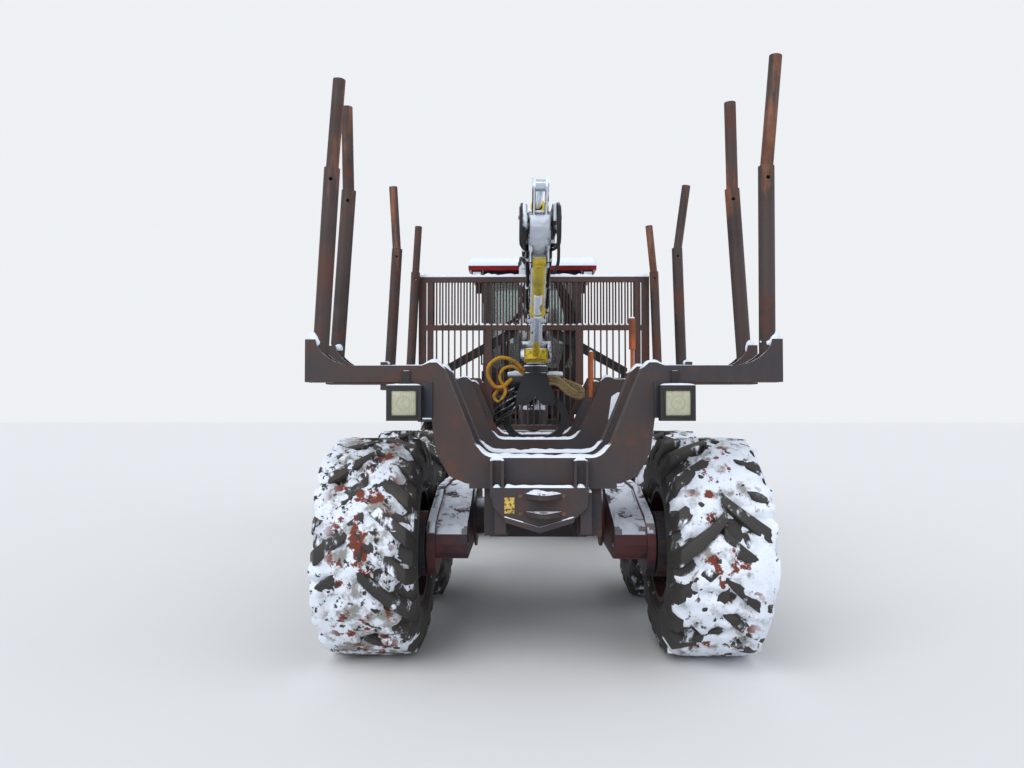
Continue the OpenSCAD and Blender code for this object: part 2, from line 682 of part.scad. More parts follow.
// Guard of bars on the hood's front, which tips with it
guard_z0 = joint_z + 220;
guard_bars = [1300, 1520, 1730];
hood_knuckle_d = 50;

module front_guard() {
  color([0.13, 0.12, 0.12]) {
    both_sides() {
      cross_pin(374 + run_gap, 430, hood_hinge.x, hood_hinge.y, hood_knuckle_d);
      block([380, front_end - 55, hood_hinge.y], [441, front_end - 15, 1180]);
      block([440, front_end - 55, guard_z0], [490, front_end - 5, 1780]);
      for (z = [1330, 1640]) block([445, hood_y1 + run_gap, z], [485, front_end - 54, z + 60]);
    }
    for (z = guard_bars) block([-489, front_end - 55, z], [489, front_end - 5, z + 50]);
  }
}

// Exhaust stack through the hood's right side
module exhaust() {
  color([0.2, 0.16, 0.14]) translate([300, cab_y1 + 100, 0]) {
    translate([0, 0, hood_top + run_gap]) cylinder(d = 90, h = 560, $fn = 32);
    translate([0, 0, 2330]) cylinder(d = 130, h = 330, $fn = 32);
  }
}

module cab_lamps() {
  color([0.6, 0.6, 0.55]) both_sides() for (y = [cab_y0 - 30, cab_y1 - 150])
    block([cab_w / 2 + 10, y, cab_top - 110], [cab_w / 2 + 130, y + 70, cab_top]);
}

// Loader pillar with the ears for the boom and for the lift cylinder
pin_gap = 0.05;
boom_pin = 70;
ear_in = 82;
ear_foot = 2790;
pillar_l = 205;
pillar_shift = 5;
pillar_round = 24;
ear_out = pillar_w / 2;
lift_foot = [pillar_y - 200, 1640];
lift_eye = [-290, -165];

module pillar() {
  color([0.09, 0.09, 0.11]) {
    translate([0, pillar_y, foot_top + run_gap]) cylinder(d = 300, h = 40, $fn = 64);
    translate([0, pillar_y + pillar_shift, foot_top + run_gap + 39]) linear_extrude(ear_foot - foot_top - 30)
      offset(r = pillar_round, $fn = 32)
        square([pillar_w - 2 * pillar_round, pillar_l - 2 * pillar_round], center = true);
    both_sides() side_plate([[pillar_y - 90, ear_foot], [pillar_y + 90, ear_foot],
      [pillar_y + 75, boom_pivot_z + 70], [pillar_y - 75, boom_pivot_z + 70]], ear_in, ear_out);
    cross_pin(-ear_out - 10, ear_out + 10, pillar_y, boom_pivot_z, boom_pin);
    both_sides() side_plate([[pillar_y - 90, lift_foot[1] - 110], [pillar_y - 90, lift_foot[1] + 90],
      [lift_foot[0] - 40, lift_foot[1] + 40], [lift_foot[0] - 40, lift_foot[1] - 40]], 40 + run_gap, 66);
    cross_pin(-66, 66, lift_foot[0], lift_foot[1], 50);
  }
}

// Drawn on the boom's own line: its pivot at the origin, its length along -y
module on_boom() {
  translate([0, pillar_y, boom_pivot_z]) rotate([boom_slope, 0, 0]) children();
}

jib_foot = [-1450, 205];
elbow_pin = 60;
jib_lug = [-190, 165];

module main_boom() {
  color([0.10, 0.10, 0.12]) on_boom() {
    difference() {
      union() {
        side_plate([[95, -70], [95, 60], [0, 112], [-500, 140], [-1500, 130], [-boom_len + 400, 85],
          [-boom_len + 400, -75], [-1500, -95], [-620, -112], [-60, -62]], -80, 80);
        for (s = [-1, 1]) translate([s < 0 ? -108 : 80, 0, 0]) side_plate(concat(
          arc(-boom_len, 0, 88, 90, 270, 8), [[-boom_len + 560, -78], [-boom_len + 560, 88]]), -1, 28);
        for (s = [-1, 1]) translate([s < 0 ? -50 - run_gap : 30 + run_gap, 0, 0])
          side_plate([[jib_foot[0] - 45, 120],
          [jib_foot[0] - 45, jib_foot[1] + 40], [jib_foot[0] + 45, jib_foot[1] + 40],
            [jib_foot[0] + 130, 120]], 0, 20);
        for (s = [-1, 1]) translate([s < 0 ? -64 - run_gap : 40 + run_gap, 0, 0])
          side_plate([[lift_eye[0] - 110, -60], [lift_eye[0] - 45, lift_eye[1] - 45],
          [lift_eye[0] + 45, lift_eye[1] - 45], [lift_eye[0] + 110, -55]], 0, 24);
      }
      cross_pin(-85, 85, 0, 0, boom_pin + 2 * pin_gap);
    }
    cross_pin(-118, 118, -boom_len, 0, elbow_pin);
    cross_pin(-52, 52, jib_foot[0], jib_foot[1], 40);
  }
}

// Cylinders: a barrel from its pin towards the rod's eye, and the rod. Drawn along +y from the pin
module barrel(eye_w, eye_d, pin, d, bore, l, neck) {
  difference() {
    union() {
      cross_pin(-eye_w / 2, eye_w / 2, 0, 0, eye_d);
      block([-eye_w / 2, 0, -eye_d / 2], [eye_w / 2, neck + 10, eye_d / 2]);
      translate([0, neck, 0]) rotate([-90, 0, 0]) cylinder(d = d, h = l - neck, $fn = 48);
      translate([0, l - 60, 0]) rotate([-90, 0, 0]) cylinder(d = d + 16, h = 60, $fn = 48);
    }
    cross_pin(-eye_w, eye_w, 0, 0, pin + 2 * pin_gap);
    translate([0, neck + 60, 0]) rotate([-90, 0, 0]) cylinder(d = bore, h = l, $fn = 48);
  }
}

module rod(eye_w, eye_d, d, start, l) {
  translate([0, start, 0]) rotate([-90, 0, 0]) cylinder(d = d, h = l - start, $fn = 48);
  difference() {
    cross_pin(-eye_w / 2, eye_w / 2, l, 0, eye_d);
    cross_pin(-eye_w, eye_w, l, 0, eye_d / 2);
  }
}

// Where the lift cylinder's eye lies, in y and z, and the cylinder's line
lift_top = [pillar_y + lift_eye[0] * cos(boom_slope) - lift_eye[1] * sin(boom_slope),
  boom_pivot_z + lift_eye[0] * sin(boom_slope) + lift_eye[1] * cos(boom_slope)];
lift_line = lift_top - lift_foot;
lift_len = norm(lift_line);

module on_lift() {
  translate([0, lift_foot[0], lift_foot[1]]) rotate([atan2(lift_line[1], lift_line[0]), 0, 0]) children();
}

module lift_barrel() { color([0.10, 0.10, 0.12]) on_lift() barrel(80, 80, 50, 124, 84, lift_len - 190,
  110); }
module lift_rod() { color("silver") on_lift() rod(80, 80, 70, 240, lift_len); }

jib_line = [-boom_len + jib_lug[0], jib_lug[1]] - jib_foot;
jib_cyl_len = norm(jib_line);

module on_jib_cylinder() {
  on_boom() translate([0, jib_foot[0], jib_foot[1]]) rotate([atan2(jib_line[1], jib_line[0]), 0, 0])
    children();
}

module jib_barrel() { color([0.10, 0.10, 0.12]) on_jib_cylinder() barrel(60, 66, 40, 88, 64, 1180, 75); }
module jib_rod() { color("silver") on_jib_cylinder() rod(60, 72, 50, 900, jib_cyl_len); }

// Drawn on the jib's own line: its pin at the origin, its length along +y
module on_jib() {
  on_boom() translate([0, -boom_len, 0]) rotate([-boom_slope - jib_slope, 0, 0]) children();
}

jib_half_w = 64;
jib_half_h = 72;
slide_gap = 1.5;
slide_half_w = 48;
slide_half_h = 54;
jib_tube_end = 1300;
lug_on_jib = [jib_lug[0] * cos(boom_slope + jib_slope) - jib_lug[1] * sin(boom_slope + jib_slope),
  jib_lug[0] * sin(boom_slope + jib_slope) + jib_lug[1] * cos(boom_slope + jib_slope)];
ext_z = -148;

module jib() {
  color([0.10, 0.10, 0.12]) on_jib() difference() {
    union() {
      block([-jib_half_w, 60, -jib_half_h], [jib_half_w, jib_tube_end, jib_half_h]);
      side_plate(concat(arc(0, 0, 80, 200, 290, 4), [[300, -jib_half_h], [300, jib_half_h]], [[60,
        90]]), -72, 72);
      for (x = [-50 - run_gap, 30 + run_gap]) side_plate([[120, -40], [200, 70], [lug_on_jib[0] + 30,
        lug_on_jib[1] + 38],
        [lug_on_jib[0] - 36, lug_on_jib[1] + 28], [lug_on_jib[0] - 36, lug_on_jib[1] - 30], [-60,
          -40]], x, x + 20);
      for (x = [-70, 46]) side_plate([[200, -60], [330, -60], [320, ext_z - 30], [250, ext_z - 30]], x,
        x + 24);
      block([-jib_half_w - 10, jib_tube_end - 60, -jib_half_h - 10], [jib_half_w + 10, jib_tube_end,
        jib_half_h + 10]);
    }
    cross_pin(-90, 90, 0, 0, elbow_pin + 2 * pin_gap);
    block([-slide_half_w - slide_gap, 140, -slide_half_h - slide_gap], [slide_half_w + slide_gap,
      jib_tube_end + 1, slide_half_h + slide_gap]);
  }
}

// Cylinder that slides the jib's extension: the barrel is held on the jib, the rod on the extension
ext_foot = 285;
ext_gland = 960;
ext_block = 1740;

module extension_barrel() {
  color([0.80, 0.70, 0.22]) on_jib() translate([0, 0, ext_z]) difference() {
    union() {
      cross_pin(-46, 46, ext_foot, 0, 58);
      translate([0, ext_foot, 0]) rotate([-90, 0, 0]) cylinder(d = 92, h = ext_gland - ext_foot, $fn = 64);
      translate([0, ext_gland - 1, 0]) rotate([-90, 0, 0]) cylinder(d = 118, h = 50, $fn = 64);
    }
    translate([0, ext_foot + 110, 0]) rotate([-90, 0, 0]) cylinder(d = 62, h = ext_gland, $fn = 64);
  }
}

module extension_rod() {
  color([0.80, 0.82, 0.84]) on_jib() translate([0, 0, ext_z]) {
    translate([0, ext_gland - 130, 0]) rotate([-90, 0, 0]) cylinder(d = 60,
      h = ext_block - ext_gland + 131, $fn = 64);
    block([-98, ext_block, -46], [98, ext_block + 80, 46]);
  }
}

tip_pin = 50;

module jib_extension() {
  color([0.10, 0.10, 0.12]) on_jib() difference() {
    union() {
      block([-slide_half_w, 800, -slide_half_h], [slide_half_w, 1960, slide_half_h]);
      for (x = [-128, 98 + run_gap]) side_plate([[ext_block - 20, -slide_half_h + 10], [ext_block - 20,
        ext_z - 40],
        [ext_block + 100, ext_z - 40], [ext_block + 170, -slide_half_h + 10]], x, x + 30 - run_gap);
      block([-128, ext_block + 10, -slide_half_h], [128, ext_block + 110, -slide_half_h + 24]);
      block([-78, 1900, -slide_half_h], [78, 1960, slide_half_h]);
      for (x = [-78, 58]) side_plate(concat(arc(jib_len, 0, 52, -90, 90, 8), [[1930, 54], [1930,
        -54]]), x, x + 20);
    }
    cross_pin(-90, 90, jib_len, 0, tip_pin + 2 * pin_gap);
  }
}

// Tip of the jib, in y and z, where the grapple hangs
tip = [pillar_y - boom_len * cos(boom_slope) + jib_len * cos(jib_slope),
  boom_pivot_z - boom_len * sin(boom_slope) - jib_len * sin(jib_slope)];

module grapple_link() {
  color([0.09, 0.09, 0.10]) {
    cross_pin(-82, 82, tip[0], tip[1], tip_pin);
    cross_pin(-56, 56, tip[0], tip[1], 84);
    block([-50, tip[0] - 36, tip[1] - 66], [50, tip[0] + 36, tip[1] - 20]);
    translate([0, tip[0], tip[1] - 82]) cylinder(d = 190, h = 22, $fn = 48);
  }
}

// Grapple: rotator, cross housing and the frame that carries the jaws
jaw_pivot = [118, tip[1] - 380];
head_top = tip[1] - 82 - run_gap;

module grapple_head() {
  color([0.09, 0.09, 0.10]) {
    translate([0, tip[0], head_top - 70]) cylinder(d = 220, h = 70, $fn = 48);
    cross_pin(-245, 245, tip[0], head_top - 130, 150);
    for (s = [-1, 1]) face_plate([[-95, head_top - 60], [95, head_top - 60], [170, jaw_pivot[1] + 40],
      [165, jaw_pivot[1] - 45],
      [70, jaw_pivot[1] - 45], [0, jaw_pivot[1] + 30], [-70, jaw_pivot[1] - 45], [-165, jaw_pivot[1] - 45],
      [-170, jaw_pivot[1] + 40]], tip[0] + s * 100 - 11, tip[0] + s * 100 + 11);
    for (x = [-jaw_pivot[0], jaw_pivot[0]]) translate([x, tip[0] + 118, jaw_pivot[1]]) rotate([90, 0, 0])
      cylinder(d = 50, h = 236, $fn = 48);
  }
}

// A jaw of bent plates. The two jaws close past each other
jaw_r = 215;
jaw_c = [75, tip[1] - 540];

module jaw(plates, tip_angle) {
  difference() {
    union() {
      for (y = plates) face_plate(concat(
        arc(jaw_c[0], jaw_c[1], jaw_r, 70, -95 - tip_angle, 14),
        arc(jaw_c[0], jaw_c[1], jaw_r - 62, -78 - tip_angle, 58, 12),
        [[jaw_pivot[0] - 40, jaw_pivot[1] - 20], [jaw_pivot[0] - 40, jaw_pivot[1] + 25],
          [jaw_pivot[0] + 30, jaw_pivot[1] + 30]]),
        tip[0] + y - 11, tip[0] + y + 11);
      face_plate(concat(arc(jaw_c[0], jaw_c[1], jaw_r - 8, 20, -80, 10), arc(jaw_c[0], jaw_c[1],
        jaw_r - 24, -80, 20, 10)),
        tip[0] + plates[0] - 1, tip[0] + plates[len(plates) - 1] + 1);
      translate([jaw_pivot[0], tip[0] + plates[len(plates) - 1] + 11, jaw_pivot[1]]) rotate([90, 0, 0])
        cylinder(d = 84, h = plates[len(plates) - 1] - plates[0] + 22, $fn = 48);
    }
    translate([jaw_pivot[0], tip[0] + 200, jaw_pivot[1]]) rotate([90, 0, 0])
      cylinder(d = 50 + 2 * pin_gap, h = 400, $fn = 48);
  }
}

module jaw_right() { color([0.09, 0.09, 0.10]) jaw([-60, 60], 0); }
module jaw_left() { color([0.09, 0.09, 0.10]) mirror([1, 0, 0]) jaw([-25, 25], 0); }

module tyre_back_left() { mirror([1, 0, 0]) tyre_back_right(); }
module rim_back_left() { mirror([1, 0, 0]) rim_back_right(); }
module tyre_mid_left() { mirror([1, 0, 0]) tyre_mid_right(); }
module rim_mid_left() { mirror([1, 0, 0]) rim_mid_right(); }
module tyre_front_left() { mirror([1, 0, 0]) tyre_front_right(); }
module rim_front_left() { mirror([1, 0, 0]) rim_front_right(); }

rear_frame();
rear_bumper();
rear_axle();
bunks();
stakes();
gate();
gate_stays();
work_lamps();
marker_posts();
loader_base();
bogie_left();
bogie_right();
tyre_back_left();
rim_back_left();
tyre_back_right();
rim_back_right();
tyre_mid_left();
rim_mid_left();
tyre_mid_right();
rim_mid_right();
tyre_front_left();
rim_front_left();
tyre_front_right();
rim_front_right();
centre_joint();
front_frame();
front_axle();
engine();
hood();
cab();
cab_roof();
cab_glass();
cab_door();
door_glass();
cab_seat();
fenders();
front_guard();
exhaust();
cab_lamps();
pillar();
lift_barrel();
lift_rod();
main_boom();
jib_barrel();
jib_rod();
jib();
extension_barrel();
jib_extension();
extension_rod();
grapple_link();
grapple_head();
jaw_left();
jaw_right();
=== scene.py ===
"""Forestry forwarder seen from behind: finishes, small pieces, snow and staging on the CAD frame."""

from __future__ import annotations

import itertools
import json
import logging
import math
from collections.abc import Iterable
from dataclasses import dataclass, field
from enum import Enum

import bmesh
import bpy
from mathutils import Matrix, Vector, noise
from mathutils.bvhtree import BVHTree

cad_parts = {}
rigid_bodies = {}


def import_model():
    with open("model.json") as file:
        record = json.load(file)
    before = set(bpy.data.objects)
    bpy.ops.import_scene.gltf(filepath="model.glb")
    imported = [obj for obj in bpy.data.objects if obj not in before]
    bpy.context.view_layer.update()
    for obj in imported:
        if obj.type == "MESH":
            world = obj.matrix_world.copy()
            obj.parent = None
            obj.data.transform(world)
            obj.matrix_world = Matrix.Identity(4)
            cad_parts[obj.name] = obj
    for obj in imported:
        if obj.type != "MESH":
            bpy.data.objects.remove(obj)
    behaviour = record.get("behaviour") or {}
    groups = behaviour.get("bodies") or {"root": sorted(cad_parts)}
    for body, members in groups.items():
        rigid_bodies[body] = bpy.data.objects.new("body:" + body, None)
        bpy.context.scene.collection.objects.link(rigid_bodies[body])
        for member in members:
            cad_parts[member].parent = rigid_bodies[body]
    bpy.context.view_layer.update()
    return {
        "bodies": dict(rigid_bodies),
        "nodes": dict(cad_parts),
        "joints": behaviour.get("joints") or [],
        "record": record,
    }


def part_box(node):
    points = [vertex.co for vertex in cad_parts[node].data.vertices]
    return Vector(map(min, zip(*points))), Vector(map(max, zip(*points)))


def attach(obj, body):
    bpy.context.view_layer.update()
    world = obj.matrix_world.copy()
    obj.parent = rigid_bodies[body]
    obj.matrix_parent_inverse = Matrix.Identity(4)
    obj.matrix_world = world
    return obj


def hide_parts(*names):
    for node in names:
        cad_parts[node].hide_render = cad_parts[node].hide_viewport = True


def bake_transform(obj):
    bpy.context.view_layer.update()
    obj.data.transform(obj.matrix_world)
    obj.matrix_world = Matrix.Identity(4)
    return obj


log = logging.getLogger("forwarder")

Colour = tuple[float, float, float]
Point = tuple[float, float, float]
Pair = tuple[float, float]


class Side(Enum):
    """A side of the machine, by the name that its pieces carry."""

    LEFT = "left"
    RIGHT = "right"

    @property
    def out(self) -> float:
        """Returns the way out of the machine along X, -1 or 1."""
        return 1.0 if self is Side.RIGHT else -1.0


class Row(Enum):
    """A row of wheels, by the name that its pieces carry."""

    BACK = "back"
    MID = "mid"
    FRONT = "front"


def linear(red: int, green: int, blue: int) -> Colour:
    """Returns a screen colour of 0 to 255 parts as linear light."""
    parts = (v / 255 for v in (red, green, blue))
    return tuple(((v + 0.055) / 1.055) ** 2.4 if v > 0.04 else v / 12.92 for v in parts)


def darker(colour: Colour, part: float) -> Colour:
    """Returns a part of a colour's light."""
    return tuple(v * part for v in colour)


# Colours


class Tint(Enum):
    """The plain colours of the machine, as linear light."""

    BUNK = linear(58, 43, 41)
    GATE = linear(68, 46, 42)
    FRAME = linear(38, 31, 32)
    BOGIE = linear(84, 34, 35)
    NAVY = linear(22, 28, 40)
    CRANE = linear(20, 22, 30)
    YELLOW = linear(206, 182, 52)
    ORANGE = linear(178, 88, 38)
    CAB_RED = linear(140, 24, 34)
    BLACK = linear(26, 26, 28)
    RUBBER = linear(44, 41, 39)
    MUD = linear(78, 66, 54)
    LEAF = linear(112, 50, 34)
    SLUSH = linear(104, 98, 80)
    MOSS = linear(96, 92, 48)
    RUST = linear(98, 57, 41)
    RUST_DARK = linear(48, 32, 29)
    RUST_LIGHT = linear(132, 78, 50)
    STEEL = linear(150, 152, 156)
    ROD = linear(198, 208, 222)
    SNOW = linear(232, 238, 248)
    LENS = linear(176, 176, 150)
    HOSE = linear(24, 24, 26)
    WRAP = linear(160, 138, 98)
    GUARD = linear(196, 146, 40)
    SEAT = linear(44, 44, 50)
    FLOOR = linear(226, 226, 226)


# Shader node helpers and the shared effects


@dataclass
class Nodes:
    """A node tree and short calls that add to it."""

    tree: bpy.types.NodeTree

    def add(self, kind: str, **settings: object) -> bpy.types.Node:
        """Adds a node.

        Args:
            kind: The node's type name.
            settings: Attributes to set on it.

        Returns:
            The new node.
        """
        node = self.tree.nodes.new(kind)
        for name, value in settings.items():
            setattr(node, name, value)
        return node

    def join(self, source: bpy.types.NodeSocket, target: bpy.types.NodeSocket) -> None:
        """Links an output to an input."""
        self.tree.links.new(source, target)

    def feed(self, target: bpy.types.NodeSocket, value: object) -> None:
        """Links an output to an input, or sets the input's own value.

        Args:
            target: The input.
            value: A socket, a number or a linear colour, which gets its alpha.
        """
        if isinstance(value, bpy.types.NodeSocket):
            self.join(value, target)
        else:
            target.default_value = (*value, 1.0) if target.type == "RGBA" else value

    def put(self, node: bpy.types.Node, **inputs: object) -> None:
        """Links or sets a node's inputs, whose names have underscores for spaces."""
        for name, value in inputs.items():
            self.feed(node.inputs[name.replace("_", " ")], value)

    def math(self, operation: str, *values: object, clamp: bool = False) -> bpy.types.NodeSocket:
        """Adds a Math node.

        Args:
            operation: The operation's name.
            values: Sockets or numbers, in order.
            clamp: True to keep the result from 0 to 1.

        Returns:
            The output socket.
        """
        node = self.add("ShaderNodeMath", operation=operation, use_clamp=clamp)
        for index, value in enumerate(values):
            self.feed(node.inputs[index], value)
        return node.outputs[0]

    def times(self, first: object, second: object) -> bpy.types.NodeSocket:
        """Returns a product."""
        return self.math("MULTIPLY", first, second)

    def plus(self, first: object, second: object, clamp: bool = False) -> bpy.types.NodeSocket:
        """Returns a sum, kept from 0 to 1 when clamp is set."""
        return self.math("ADD", first, second, clamp=clamp)

    def minus(self, first: object, second: object) -> bpy.types.NodeSocket:
        """Returns a difference."""
        return self.math("SUBTRACT", first, second)

    def most(self, first: object, second: object) -> bpy.types.NodeSocket:
        """Returns the greater of two values."""
        return self.math("MAXIMUM", first, second)

    def axes(self, kind: str = "Object") -> bpy.types.NodeOutputs:
        """Splits a texture coordinate into X, Y and Z.

        Args:
            kind: Which output of the Texture Coordinate node.

        Returns:
            The output sockets by name.
        """
        parts = self.add("ShaderNodeSeparateXYZ")
        self.join(self.add("ShaderNodeTexCoord").outputs[kind], parts.inputs[0])
        return parts.outputs

    def ramp(self, value: bpy.types.NodeSocket, low: float, high: float) -> bpy.types.NodeSocket:
        """Steps smoothly from 0 at a low value to 1 at a high one.

        Args:
            value: The value.
            low: Where the step starts.
            high: Where it reaches 1.

        Returns:
            The step.
        """
        node = self.add("ShaderNodeMapRange", interpolation_type="SMOOTHSTEP")
        self.put(node, Value=value, From_Min=low, From_Max=high)
        return node.outputs["Result"]

    def mix(self, share: object, first: object, second: object) -> bpy.types.NodeSocket:
        """Adds a colour mix.

        Args:
            share: Part of the second colour, a socket or a number.
            first: A colour socket or a linear colour.
            second: A colour socket or a linear colour.

        Returns:
            The mixed colour.
        """
        node = self.add("ShaderNodeMix", data_type="RGBA")
        for index, value in ((0, share), (6, first), (7, second)):
            self.feed(node.inputs[index], value)
        return node.outputs[2]

    def noise(
        self, scale: float, detail: float = 4.0, stretch: Point = (1.0, 1.0, 1.0), offset: float = 0.0
    ) -> bpy.types.NodeSocket:
        """Adds a noise on object coordinates.

        Args:
            scale: Noise cells for each metre.
            detail: Octaves.
            stretch: Scale along each axis.
            offset: Shift of the pattern in metres.

        Returns:
            The noise value.
        """
        place, turn = self.add("ShaderNodeTexCoord").outputs["Object"], self.add("ShaderNodeMapping")
        self.put(turn, Vector=place, Scale=stretch, Location=(offset, offset, offset))
        grain = self.add("ShaderNodeTexNoise")
        self.put(grain, Vector=turn.outputs["Vector"], Scale=scale, Detail=detail, Roughness=0.62)
        return grain.outputs["Fac"]


class Effects:
    """The shader groups that several finishes share. Each puts out masks only."""

    groups: dict[str, bpy.types.NodeTree] = {}

    @classmethod
    def _start(cls, name: str, inputs: dict[str, float], outputs: list[str]) -> tuple[Nodes, dict, dict]:
        """Starts a group.

        Args:
            name: The group's name.
            inputs: Input names with their defaults.
            outputs: Output names.

        Returns:
            The nodes, the inputs' sockets and the output node's sockets, by name.
        """
        tree = bpy.data.node_groups.new(name, "ShaderNodeTree")
        for label, value in inputs.items():
            socket = tree.interface.new_socket(label, in_out="INPUT", socket_type="NodeSocketFloat")
            socket.default_value = value
        for label in outputs:
            tree.interface.new_socket(label, in_out="OUTPUT", socket_type="NodeSocketFloat")
        nodes = Nodes(tree)
        entry, leave = nodes.add("NodeGroupInput"), nodes.add("NodeGroupOutput")
        cls.groups[name] = tree
        return nodes, {s.name: s for s in entry.outputs}, {s.name: s for s in leave.inputs}

    @classmethod
    def snow(cls) -> bpy.types.NodeTree:
        """Snow that lies on faces that look up, and that the wind blew onto faces that look back.

        Returns:
            The group.
        """
        if "snow" not in cls.groups:
            nodes, given, out = cls._start("snow", {"Amount": 0.5, "Drift": 0.0}, ["Mask"])
            normal = nodes.axes("Normal")
            facing = nodes.ramp(normal["Z"], 0.45, 0.95)
            patches = nodes.plus(nodes.noise(7.0, 6.0), nodes.times(nodes.noise(60.0, 3.0), 0.25))
            level = nodes.minus(nodes.plus(patches, given["Amount"]), 1.02)
            mask = nodes.times(nodes.ramp(level, 0.0, 0.09), facing)
            back = nodes.ramp(nodes.times(normal["Y"], -1.0), 0.15, 0.5)
            blown = nodes.plus(nodes.noise(11.0, 7.0, stretch=(1.0, 1.0, 0.6), offset=8.3), given["Drift"])
            stuck = nodes.times(nodes.ramp(blown, 0.98, 1.08), back)
            nodes.join(nodes.most(mask, stuck), out["Mask"])
        return cls.groups["snow"]

    @classmethod
    def cover(cls, nodes: Nodes, amount: float, drift: float = 0.0) -> bpy.types.NodeSocket:
        """Adds the snow group to a material.

        Args:
            nodes: The material's nodes.
            amount: How much snow lies on upward faces, from 0 to 1.
            drift: How much the wind blew onto faces that look back, from 0 to 1.

        Returns:
            The snow's mask.
        """
        group = nodes.add("ShaderNodeGroup", node_tree=cls.snow())
        nodes.put(group, Amount=amount, Drift=drift)
        return group.outputs["Mask"]

    @classmethod
    def wear(cls) -> bpy.types.NodeTree:
        """Rust patches, streaks that run down, and rubbed edges.

        Returns:
            The group.
        """
        if "wear" not in cls.groups:
            masks = ["Rust", "Streak", "Edge", "Grain"]
            nodes, given, out = cls._start("wear", {"Rust": 0.5, "Edge": 0.006}, masks)
            broad = nodes.noise(3.1, 8.0, offset=2.3)
            fine = nodes.noise(28.0, 6.0, offset=7.1)
            spread = nodes.plus(broad, nodes.times(fine, 0.4))
            nodes.join(nodes.ramp(nodes.plus(spread, given["Rust"]), 1.12, 1.34), out["Rust"])
            streak = nodes.noise(16.0, 4.0, stretch=(1.0, 1.0, 0.09), offset=4.4)
            nodes.join(nodes.ramp(streak, 0.52, 0.72), out["Streak"])
            soft = nodes.add("ShaderNodeBevel", samples=3)
            nodes.put(soft, Radius=given["Edge"])
            plain = nodes.add("ShaderNodeNewGeometry")
            turned = nodes.add("ShaderNodeVectorMath", operation="DOT_PRODUCT")
            nodes.join(soft.outputs[0], turned.inputs[0])
            nodes.join(plain.outputs["Normal"], turned.inputs[1])
            edge = nodes.ramp(nodes.minus(1.0, turned.outputs["Value"]), 0.02, 0.2)
            nodes.join(nodes.times(edge, nodes.ramp(fine, 0.36, 0.62)), out["Edge"])
            nodes.join(nodes.noise(210.0, 3.0), out["Grain"])
        return cls.groups["wear"]


FINISHED: dict[str, bpy.types.Material] = {}


@dataclass(frozen=True)
class Finish:
    """Base of the finishes: a named material on a Principled shader."""

    name: str

    def material(self) -> bpy.types.Material:
        """Makes the material on its first use and finds it again after that.

        Returns:
            The material.
        """
        made = FINISHED.get(self.name)
        if made is None:
            made = FINISHED[self.name] = bpy.data.materials.new(f"finish_{self.name}")
            made.use_nodes = True
            tree = made.node_tree
            tree.nodes.clear()
            nodes = Nodes(tree)
            shader = nodes.add("ShaderNodeBsdfPrincipled")
            nodes.put(nodes.add("ShaderNodeOutputMaterial"), Surface=shader.outputs[0])
            self.paint(nodes, shader)
        return made

    def paint(self, nodes: Nodes, shader: bpy.types.Node) -> None:
        """Sets the shader's inputs; each finish has its own."""
        raise NotImplementedError

    @staticmethod
    def bump(nodes: Nodes, shader: bpy.types.Node, height: bpy.types.NodeSocket, depth: float) -> None:
        """Feeds the shader's normal from a height.

        Args:
            nodes: The material's nodes.
            shader: The Principled node.
            height: Height from 0 to 1.
            depth: What a height of 1 is in metres.
        """
        node = nodes.add("ShaderNodeBump")
        nodes.put(node, Distance=depth, Height=height)
        nodes.put(shader, Normal=node.outputs[0])


@dataclass(frozen=True)
class WornPaint(Finish):
    """Paint that rusts, streaks and rubs off at its edges, with snow on top.

    Attributes:
        colour: The paint.
        rust: How far rust has spread, from 0 to 1.
        snow: How much snow lies on upward faces, from 0 to 1.
        rough: Roughness of the paint.
        second: A darker paint that shows in broad patches; on the bunks these patches are worn paint with a
            painted bluish-grey sheen.
        drift: How much snow the wind blew onto faces that look back, from 0 to 1.
    """

    colour: Colour
    rust: float = 0.5
    snow: float = 0.5
    rough: float = 0.55
    second: Colour | None = None
    drift: float = 0.0

    def coat(self, nodes: Nodes) -> object:
        """Returns the paint under the wear, a colour or a socket."""
        return self.colour

    def paint(self, nodes: Nodes, shader: bpy.types.Node) -> None:
        """Layers paint, streaks, rust, edges and snow.

        Args:
            nodes: The material's nodes.
            shader: The Principled node.
        """
        wear = nodes.add("ShaderNodeGroup", node_tree=Effects.wear())
        nodes.put(wear, Rust=self.rust)
        cover = Effects.cover(nodes, self.snow, self.drift)
        coat = self.coat(nodes)
        dark = self.second or nodes.mix(0.5, coat, (0.0, 0.0, 0.0))
        base = nodes.mix(nodes.ramp(nodes.noise(2.2, 5.0, offset=9.2), 0.44, 0.62), coat, dark)
        for layer, share, tint in (
            ("Streak", 0.45, Tint.RUST_DARK), ("Rust", 0.6, Tint.RUST), ("Edge", 0.55, Tint.RUST),
        ):
            base = nodes.mix(nodes.times(wear.outputs[layer], share), base, tint.value)
        rough = nodes.plus(self.rough, nodes.times(wear.outputs["Rust"], 0.25), clamp=True)
        nodes.put(
            shader, Base_Color=nodes.mix(cover, base, Tint.SNOW.value),
            Roughness=nodes.most(rough, nodes.times(cover, 0.85)),
        )
        self.bump(nodes, shader, nodes.plus(wear.outputs["Grain"], nodes.times(cover, 4.0)), 0.0012)


